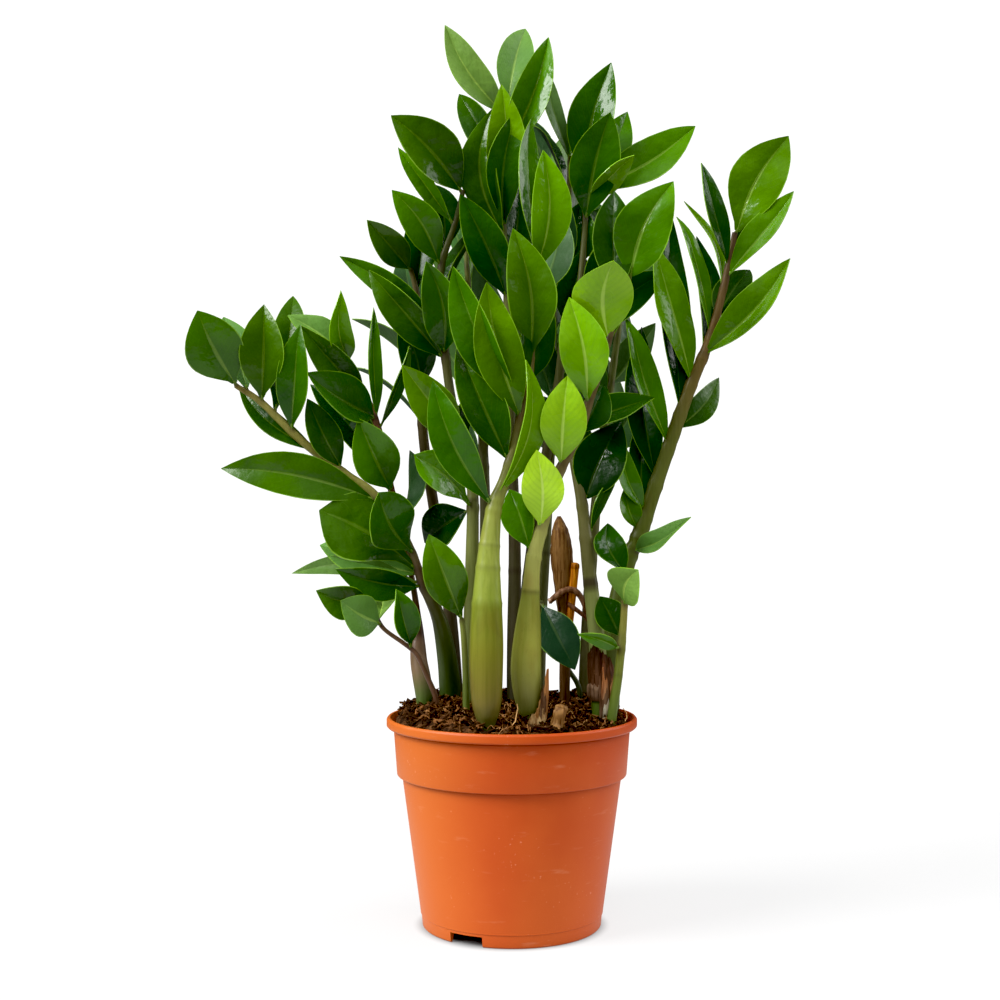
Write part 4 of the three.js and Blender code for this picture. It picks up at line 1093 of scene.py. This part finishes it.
def soilHeight(x, y):
    shape = soilShape
    radius = math.hypot(x, y)
    angle = math.atan2(y, x)
    fall = min(max((radius - shape["shoulder"]) / shape["shoulderWidth"], 0), 1)
    fall = fall * fall * (3 - 2 * fall)
    lumps = math.sin(3 * angle + 0.8) * math.sin(radius / 9) \
        + 0.8 * math.sin(7 * angle + radius / 7) + 0.6 * math.sin(11 * angle - radius / 5)
    slump = shape["slump"] * math.sqrt(max(0, math.cos(angle - shape["slumpTurn"])))
    slump *= min(radius / shape["slumpRadius"], 1) ** 1.5
    level = shape["crown"] + (shape["edge"] - shape["crown"]) * fall - slump * (1 - 0.6 * fall)
    return level + shape["lumps"] * lumps * min(radius / 30, 1) * (1 - fall)


def pileSoil():
    shape = soilShape
    deselectAll()
    size = 2 * shape["radius"] * millimetre
    bpy.ops.mesh.primitive_grid_add(x_subdivisions=shape["grid"], y_subdivisions=shape["grid"], size=size)
    made = bpy.context.object
    made.name = "soilHeap"
    points = coordinatesOf(made) / millimetre
    # the square grid is pressed into a disc
    for row, (x, y, _) in enumerate(points):
        biggest = max(abs(x), abs(y))
        distance = math.hypot(x, y)
        if distance:
            x, y = x * biggest / distance, y * biggest / distance
        rough = noise.fractal(Vector((x, y, 3)) * 0.16, 0.8, 2.1, 5)
        edge = min(1, max(0, (shape["radius"] - math.hypot(x, y)) / 3))
        points[row] = (x, y, soilHeight(x, y) - 1.0 + shape["rough"] * rough * edge)
    setCoordinates(made, points * millimetre)
    editAll()
    bpy.ops.mesh.region_to_loop()
    for drop, width, relief in shape["skirt"]:
        bpy.ops.mesh.extrude_region_move(TRANSFORM_OT_translate={"value": (0, 0, -drop * millimetre)})
        bpy.ops.transform.resize(value=(width, width, relief))
    bpy.ops.mesh.edge_face_add()
    bpy.ops.mesh.select_all(action="SELECT")
    bpy.ops.mesh.normals_make_consistent(inside=False)
    leaveEdit()
    made.data.materials.append(peat)
    settle(made, "soil", angle=60)


litterShape = {
    "chips": 3000,
    # [middle, spread] of a chip's thickness, width and length
    "chipSize": [(1.1, 0.5), (0.75, 0.3), (3.4, 2.3)],
    "biggest": 1.4,  # how much larger a few of them are
    "jitter": 0.22,
    "tilt": 38,
    "lift": (0.2, 0.9),
    "tone": 0.24,
    "fibres": 480,
    "fibreRadius": 0.28,
    "fibreSpread": 74,
    "fibreLimit": 77,
    "fibreLength": (8, 6),
    "fibreBend": 1.4,
    "fibreRise": 3.2,
    "fibreTone": (0.60, 0.25),
    "stops": 7,
    # two pale root hairs, as [across, depth, up]
    "rootHairs": [
        [[3.5, -52, 149], [4, -58, 146], [3.2, -64, 142], [2.4, -68, 137], [0.5, -73, 135]],
        [[76, -16, 146], [78, -20, 143], [78.4, -24, 140], [77, -27, 137.5]],
    ],
    "hairRadius": 0.35,
}


# bark chips lie on the soil and stick out of it
def strewChips(draw):
    shape = litterShape
    edge = soilShape["radius"]
    deselectAll()
    bpy.ops.mesh.primitive_cylinder_add(vertices=5, radius=0.5, depth=1)
    chipPattern = bpy.context.object
    editAll()
    bpy.ops.mesh.bisect(plane_co=(0, 0, 0), plane_no=(0, 0, 1))
    leaveEdit()
    pattern = coordinatesOf(chipPattern)
    chips = []
    for count in range(shape["chips"]):
        angle = math.pi * next(draw)
        radius = (edge - 0.5) * math.sqrt(abs(next(draw)))
        x, y = radius * math.cos(angle), radius * math.sin(angle)
        big = 1.0 + abs(next(draw)) ** 4 * shape["biggest"]
        size = np.array([middle + spread * next(draw) for middle, spread in shape["chipSize"]]) * big
        chip = copyOf(chipPattern, f"chip{count}")
        jitter = np.array([[next(draw) for _ in range(3)] for _ in pattern]) * shape["jitter"]
        turn = Matrix.Rotation(math.pi * next(draw), 3, "Z") \
            @ Matrix.Rotation(math.radians(90 + shape["tilt"] * next(draw)), 3, "X") \
            @ Matrix.Rotation(math.pi * next(draw), 3, "Z")
        lift = soilHeight(x, y) + shape["lift"][0] + shape["lift"][1] * next(draw)
        # a chip near the pot's wall is drawn in, so that it stays inside
        drawIn = 1 - max(0.0, radius + 3.5 * big - edge) / 90
        body = ((pattern + jitter) * size) @ np.array(turn).T + (x * drawIn, y * drawIn, lift)
        setCoordinates(chip, body * millimetre)
        # more of them are paler than darker
        giveNumber(chip, "tone", shape["tone"] + next(draw) ** 2 * (0.5 if next(draw) > -0.1 else -0.25))
        chips.append(chip)
    bpy.data.objects.remove(chipPattern)
    made = joinAll(chips, "soilChips")
    made.data.materials.append(bark)
    return made


def strewFibres(draw):
    shape = litterShape
    legs = shape["stops"] - 1
    threads = []
    for count in range(shape["fibres"]):
        angle = math.pi * next(draw)
        radius = shape["fibreSpread"] * math.sqrt(abs(next(draw)))
        heading = math.pi * next(draw)
        bend = shape["fibreBend"] * next(draw)
        reach = shape["fibreLength"][0] + shape["fibreLength"][1] * next(draw)
        x, y = radius * math.cos(angle), radius * math.sin(angle)
        points = []
        for share in np.linspace(0, 1, shape["stops"]):
            rise = shape["fibreRise"] * math.sin(math.pi * share) * abs(next(draw))
            points.append((x, y, soilHeight(x, y) + rise))
            x += reach / legs * math.cos(heading + bend * share)
            y += reach / legs * math.sin(heading + bend * share)
        if math.hypot(x, y) > shape["fibreLimit"]:
            continue
        radii = [shape["fibreRadius"] * millimetre] * len(points)
        threads.append(stalk(np.array(points) * millimetre, radii, 4, bark, f"fibre{count}"))
        giveNumber(threads[-1], "tone", shape["fibreTone"][0] + shape["fibreTone"][1] * next(draw))
    for rows in shape["rootHairs"]:
        points = [place(row) * millimetre for row in rows]
        radii = [shape["hairRadius"] * millimetre] * len(points)
        threads.append(stalk(points, radii, 6, bark, "rootHair"))
        giveNumber(threads[-1], "tone", 1.05)
    return joinAll(threads, "soilFibres")


pileSoil()
litterDraw = drawsFrom(77)
soilChips = strewChips(litterDraw)
soilFibres = strewFibres(litterDraw)
settle(joinAll([soilChips, soilFibres], "soilLitter"), "soil", angle=25)
print("soil is piled")


# The skin of a dry part runs from the low colour at its foot to the high one at its top.
dryPlans = {
    "dry_cane": [
        {"name": "cane", "sink": 20, "wobble": 0.07, "seed": 3,
         "low": (0.045, 0.022, 0.010), "high": (0.210, 0.105, 0.030),
         "stem": [[36, 12, 150, 3.6], [36, 12, 190, 3.9], [35.5, 12, 214, 4.8], [35, 12, 230, 6.2],
                  [34.2, 12, 246, 7.5], [33.4, 12, 260, 7.0], [32.6, 12, 270, 4.8], [32.2, 12, 277, 1.2]]},
        {"name": "stub", "sink": 6, "wobble": 0.05, "seed": 8,
         "low": (0.34, 0.12, 0.020), "high": (0.62, 0.23, 0.012),
         "stem": [[38.6, 10, 200, 2.7], [40.6, 9, 218, 2.9], [43, 8, 243, 3.1]]},
        {"name": "stubCap", "sink": 0.5, "wobble": 0.05, "seed": 9,
         "low": (0.36, 0.12, 0.010), "high": (0.42, 0.15, 0.012),
         "stem": [[43, 8, 241.5, 3.25], [43.1, 8, 244.2, 3.2], [43.2, 8, 245.4, 1.6]]},
        {"name": "curl", "sink": 3, "wobble": 0.10, "seed": 12,
         "low": (0.10, 0.042, 0.020), "high": (0.23, 0.12, 0.06),
         "stem": [[51, 8, 211, 1.6], [49, 7, 218, 1.9], [45.5, 6, 224, 2.1], [40.5, 5, 227, 2.2],
                  [35, 5, 226, 2.2], [29.5, 5, 222, 2.1], [25.5, 5, 218.5, 1.9]]},
        {"name": "curlTip", "sink": 0.5, "wobble": 0.05, "seed": 13,
         "low": (0.40, 0.24, 0.15), "high": (0.55, 0.38, 0.28),
         "stem": [[26.5, 5, 219.5, 1.9], [25, 5, 219, 2.0]]},
        {"name": "curlBelow", "sink": 2, "wobble": 0.12, "seed": 15,
         "low": (0.10, 0.042, 0.022), "high": (0.15, 0.065, 0.032),
         "stem": [[51, 6, 207.5, 1.4], [45, 6, 212.5, 1.6], [38, 7, 217.5, 1.7]]},
    ],
    "cut_stub": [
        {"name": "cutStub", "sink": 14, "wobble": 0.55, "seed": 21,
         "low": (0.17, 0.085, 0.025), "high": (0.26, 0.135, 0.045),
         "stem": [[29, -60, 127, 4.0], [30.5, -59, 132, 4.6], [31, -58, 136, 3.7], [32, -58, 140, 4.5],
                  [32.4, -58, 143.5, 3.3], [33.2, -57, 146.5, 3.9], [33.6, -57, 148.5, 2.6]]},
    ],
}


def drySkin(thing, plan):
    ups = coordinatesOf(thing)[:, 2]
    share = (ups - ups.min()) / np.ptp(ups)
    giveSkin(thing, np.outer(1 - share, plan["low"]) + np.outer(share, plan["high"]))


def dryStalk(plan):
    wobble, seed = plan["wobble"], plan["seed"]
    stops = stopsAlong(sunkRoute(plan["stem"], plan["sink"]), 2, least=8)
    points = np.array([place(shown) * millimetre for shown in stops])
    radii = []
    for i, shown in enumerate(stops):
        rough = noise.noise(Vector((seed, 0, i * 0.35)))
        radii.append(max(shown[3], 0.7) * (1 + wobble * rough) * millimetre)
    made = stalk(points, radii, 10, huskSkin, plan["name"])
    spots = coordinatesOf(made)
    for row, spot in enumerate(spots):
        centre = points[np.argmin(np.linalg.norm(points - spot, axis=1))]
        wrinkle = noise.noise(Vector(spot * np.array([420, 420, 60])) + Vector((seed, 0, 0)))
        spots[row] = centre + (spot - centre) * (1 + wobble * 0.9 * wrinkle)
    setCoordinates(made, spots)
    drySkin(made, plan)
    return made


# A husk is papery sheets around a foot. Each sheet has its turns around the foot from left to right, in
# degrees with -90 towards the viewer, its lowest and highest point, and its torn edge as shares of that
# height. Its bulge is at half its height and its flare at its edge.
huskPlans = {
    "husk_right": {"middle": (60, -20), "sheets": [
        {"turns": (-182, -40), "heights": (156, 190), "radius": 6.8, "bulge": 1.4,
         "edge": [0.74, 0.84, 1.0, 0.97, 0.86, 0.80, 0.70],
         "low": (0.130, 0.060, 0.028), "high": (0.024, 0.009, 0.005)},
        {"turns": (-96, 18), "heights": (138, 182), "radius": 7.2, "bulge": 2.8,
         "edge": [0.70, 0.93, 0.90, 0.96, 0.84, 0.74, 0.45],
         "low": (0.20, 0.13, 0.075), "high": (0.085, 0.024, 0.009)},
        {"turns": (-90, -64), "heights": (148, 177), "radius": 7.9, "bulge": 2.4,
         "edge": [0.30, 0.88, 1.0, 0.60],
         "low": (0.40, 0.24, 0.13), "high": (0.420, 0.130, 0.030)},
        {"turns": (-56, -34), "heights": (141, 173), "radius": 8.1, "bulge": 2.8,
         "edge": [0.40, 0.92, 1.0, 0.50],
         "low": (0.46, 0.32, 0.18), "high": (0.520, 0.220, 0.070)},
        {"turns": (-84, -30), "heights": (137, 155), "radius": 8.8, "bulge": 1.2,
         "edge": [0.40, 0.90, 1.0, 0.80, 0.50],
         "low": (0.30, 0.26, 0.17), "high": (0.56, 0.53, 0.40)},
        {"turns": (-176, -92), "heights": (152, 164), "radius": 7.4, "bulge": 1.2,
         "edge": [0.80, 0.95, 1.0, 0.96, 0.85],
         "low": (0.10, 0.055, 0.030), "high": (0.24, 0.15, 0.09)},
    ]},
    "husk_front": {"middle": (11, -40), "sheets": [
        {"turns": (-80, -2), "heights": (129, 173), "radius": 11.4, "bulge": 1.0, "flare": 2.2,
         "edge": [0.25, 0.38, 0.56, 0.82, 1.0, 0.70],
         "low": (0.46, 0.27, 0.11), "high": (0.42, 0.17, 0.05)},
        {"turns": (-58, -34), "heights": (132, 162), "radius": 12.4, "bulge": 1.0, "flare": 1.0,
         "edge": [0.35, 0.80, 1.0, 0.70],
         "low": (0.17, 0.10, 0.055), "high": (0.11, 0.055, 0.028)},
        {"turns": (-96, -28), "heights": (127, 147), "radius": 12.2, "bulge": 1.2, "flare": 0.8,
         "edge": [0.45, 0.85, 0.65, 1.0, 0.70],
         "low": (0.54, 0.38, 0.18), "high": (0.50, 0.32, 0.14)},
    ]},
}


paperShape = {"columns": 36, "rows": 24, "thickness": 0.4, "jagged": 0.09, "pleats": 0.45, "crumple": 0.9}


def wrapSheet(middle, sheet, seed):
    paper = paperShape
    deselectAll()
    bpy.ops.mesh.primitive_grid_add(x_subdivisions=paper["columns"], y_subdivisions=paper["rows"], size=1)
    made = bpy.context.object
    points = coordinatesOf(made)
    left, right = sheet["turns"]
    bottom, top = sheet["heights"]
    base = place((*middle, bottom))
    columns = np.linspace(0, 1, len(sheet["edge"]))
    for row, (x, y, _) in enumerate(points):
        column, rise = x + 0.5, y + 0.5
        jagged = paper["jagged"] * noise.noise(Vector((column * 17, 0, seed)))
        rise *= np.interp(column, columns, sheet["edge"]) + jagged
        angle = math.radians(left + (right - left) * column)
        pleats = paper["pleats"] * math.sin(column * (right - left) / 4 + seed + 2 * rise)
        crumple = paper["crumple"] * noise.noise(Vector((column * 5, rise * 3, seed + 2)))
        swell = sheet["bulge"] * math.sin(math.pi * rise) + sheet.get("flare", 0) * rise * rise
        reach = sheet["radius"] + swell + (pleats + crumple) * (0.25 + 0.75 * rise)
        points[row] = base + (reach * math.cos(angle), reach * math.sin(angle), (top - bottom) * rise)
    setCoordinates(made, points * millimetre)
    applyModifier(made, "SOLIDIFY", thickness=paper["thickness"] * millimetre, offset=0.0)
    made.data.materials.append(huskSkin)
    drySkin(made, sheet)
    return made


for nodeName, parts in dryPlans.items():
    settle(joinAll([dryStalk(part) for part in parts], pieceName(nodeName)), nodeName)
for nodeName, plan in huskPlans.items():
    sheets = [wrapSheet(plan["middle"], sheet, 3 + 4 * count) for count, sheet in enumerate(plan["sheets"])]
    settle(joinAll(sheets, pieceName(nodeName)), nodeName, angle=50)
print("dry remains are in place")


studio = {
    "sky": 0.24,
    "mirrored": 0.10,  # the sky as shiny surfaces show it
    "backdrop": 1.1,
    "blackest": 0.009,
    "floor": ((0.15, 0.15, 0.15), (0.16, 0.16, 0.16)),
    "floorGlow": 0.75,
    "footShade": (0.052, 0.068),  # metres from the middle, where the floor's own glow starts and is full
    # [turn from the viewer, rise, width of the source] in degrees, then strength
    "lights": {
        "softKey": [-68, 38, 32, 4.5],
        "softTop": [20, 80, 60, 1.2],
        "softFront": [14, 40, 60, 1.3],
        "softRight": [98, 28, 40, 1.6],
    },
    "highlights": ("softKey", "softRight"),  # the lights that shiny surfaces mirror
}


def layFloor():
    deselectAll()
    bpy.ops.mesh.primitive_circle_add(vertices=96, radius=0.7, fill_type="NGON")
    floor = bpy.context.object
    floor.name = "floor"
    paint = Paint("floorWhite", 0)
    across, away = paint.split(paint.places())
    inner, outer = studio["footShade"]
    glow = paint.ease(across * across + away * away, inner**2, outer**2)
    paint.feed(paint.shader.inputs["Emission Color"], paint.blend(glow, (0, 0, 0), (1, 1, 1)))
    paint.feed(paint.shader.inputs["Emission Strength"], studio["floorGlow"])
    floor.data.materials.append(paint.finish(paint.blend(paint.speckle(2), *studio["floor"]), 0.9))


def whiten(background, strength):
    background.inputs["Color"].default_value = (1, 1, 1, 1)
    background.inputs["Strength"].default_value = strength
    return background.outputs[0]


def setSky():
    world = bpy.data.worlds.new("studioSky")
    bpy.context.scene.world = world
    world.use_nodes = True
    nodes = world.node_tree.nodes
    links = world.node_tree.links
    path = nodes.new("ShaderNodeLightPath")
    shown = whiten(nodes["Background"], studio["sky"])
    # what shiny surfaces mirror is dimmer than what lights them, and the backdrop is plain white
    for ray, strength in (("Is Glossy Ray", studio["mirrored"]), ("Is Camera Ray", studio["backdrop"])):
        pick = nodes.new("ShaderNodeMixShader")
        links.new(path.outputs[ray], pick.inputs[0])
        links.new(shown, pick.inputs[1])
        links.new(whiten(nodes.new("ShaderNodeBackground"), strength), pick.inputs[2])
        shown = pick.outputs[0]
    links.new(shown, nodes["World Output"].inputs[0])


def setLights():
    for name, (turn, rise, wide, strength) in studio["lights"].items():
        turn, rise = math.radians(turn), math.radians(rise)
        away = Vector((math.sin(turn) * math.cos(rise), -math.cos(turn) * math.cos(rise), math.sin(rise)))
        bpy.ops.object.light_add(type="SUN", location=away)
        light = bpy.context.object
        light.name = name
        light.data.energy = strength
        light.data.angle = math.radians(wide)
        light.visible_glossy = name in studio["highlights"]
        light.rotation_euler = away.to_track_quat("Z", "Y").to_euler()


def setCamera():
    eye = Vector((viewPoint["across"], -viewPoint["distance"], viewPoint["up"])) * millimetre
    bpy.ops.object.camera_add(location=eye, rotation=(math.radians(90), 0, 0))
    camera = bpy.context.object
    camera.data.lens = viewPoint["lens"]
    camera.data.sensor_width = 36
    camera.data.clip_start = 0.01
    bpy.context.scene.camera = camera
    view = bpy.context.scene.view_settings
    view.view_transform = "Standard"
    view.use_curve_mapping = True
    view.curve_mapping.black_level = (studio["blackest"],) * 3
    view.curve_mapping.update()


layFloor()
setSky()
setLights()
setCamera()
print("studio is set")
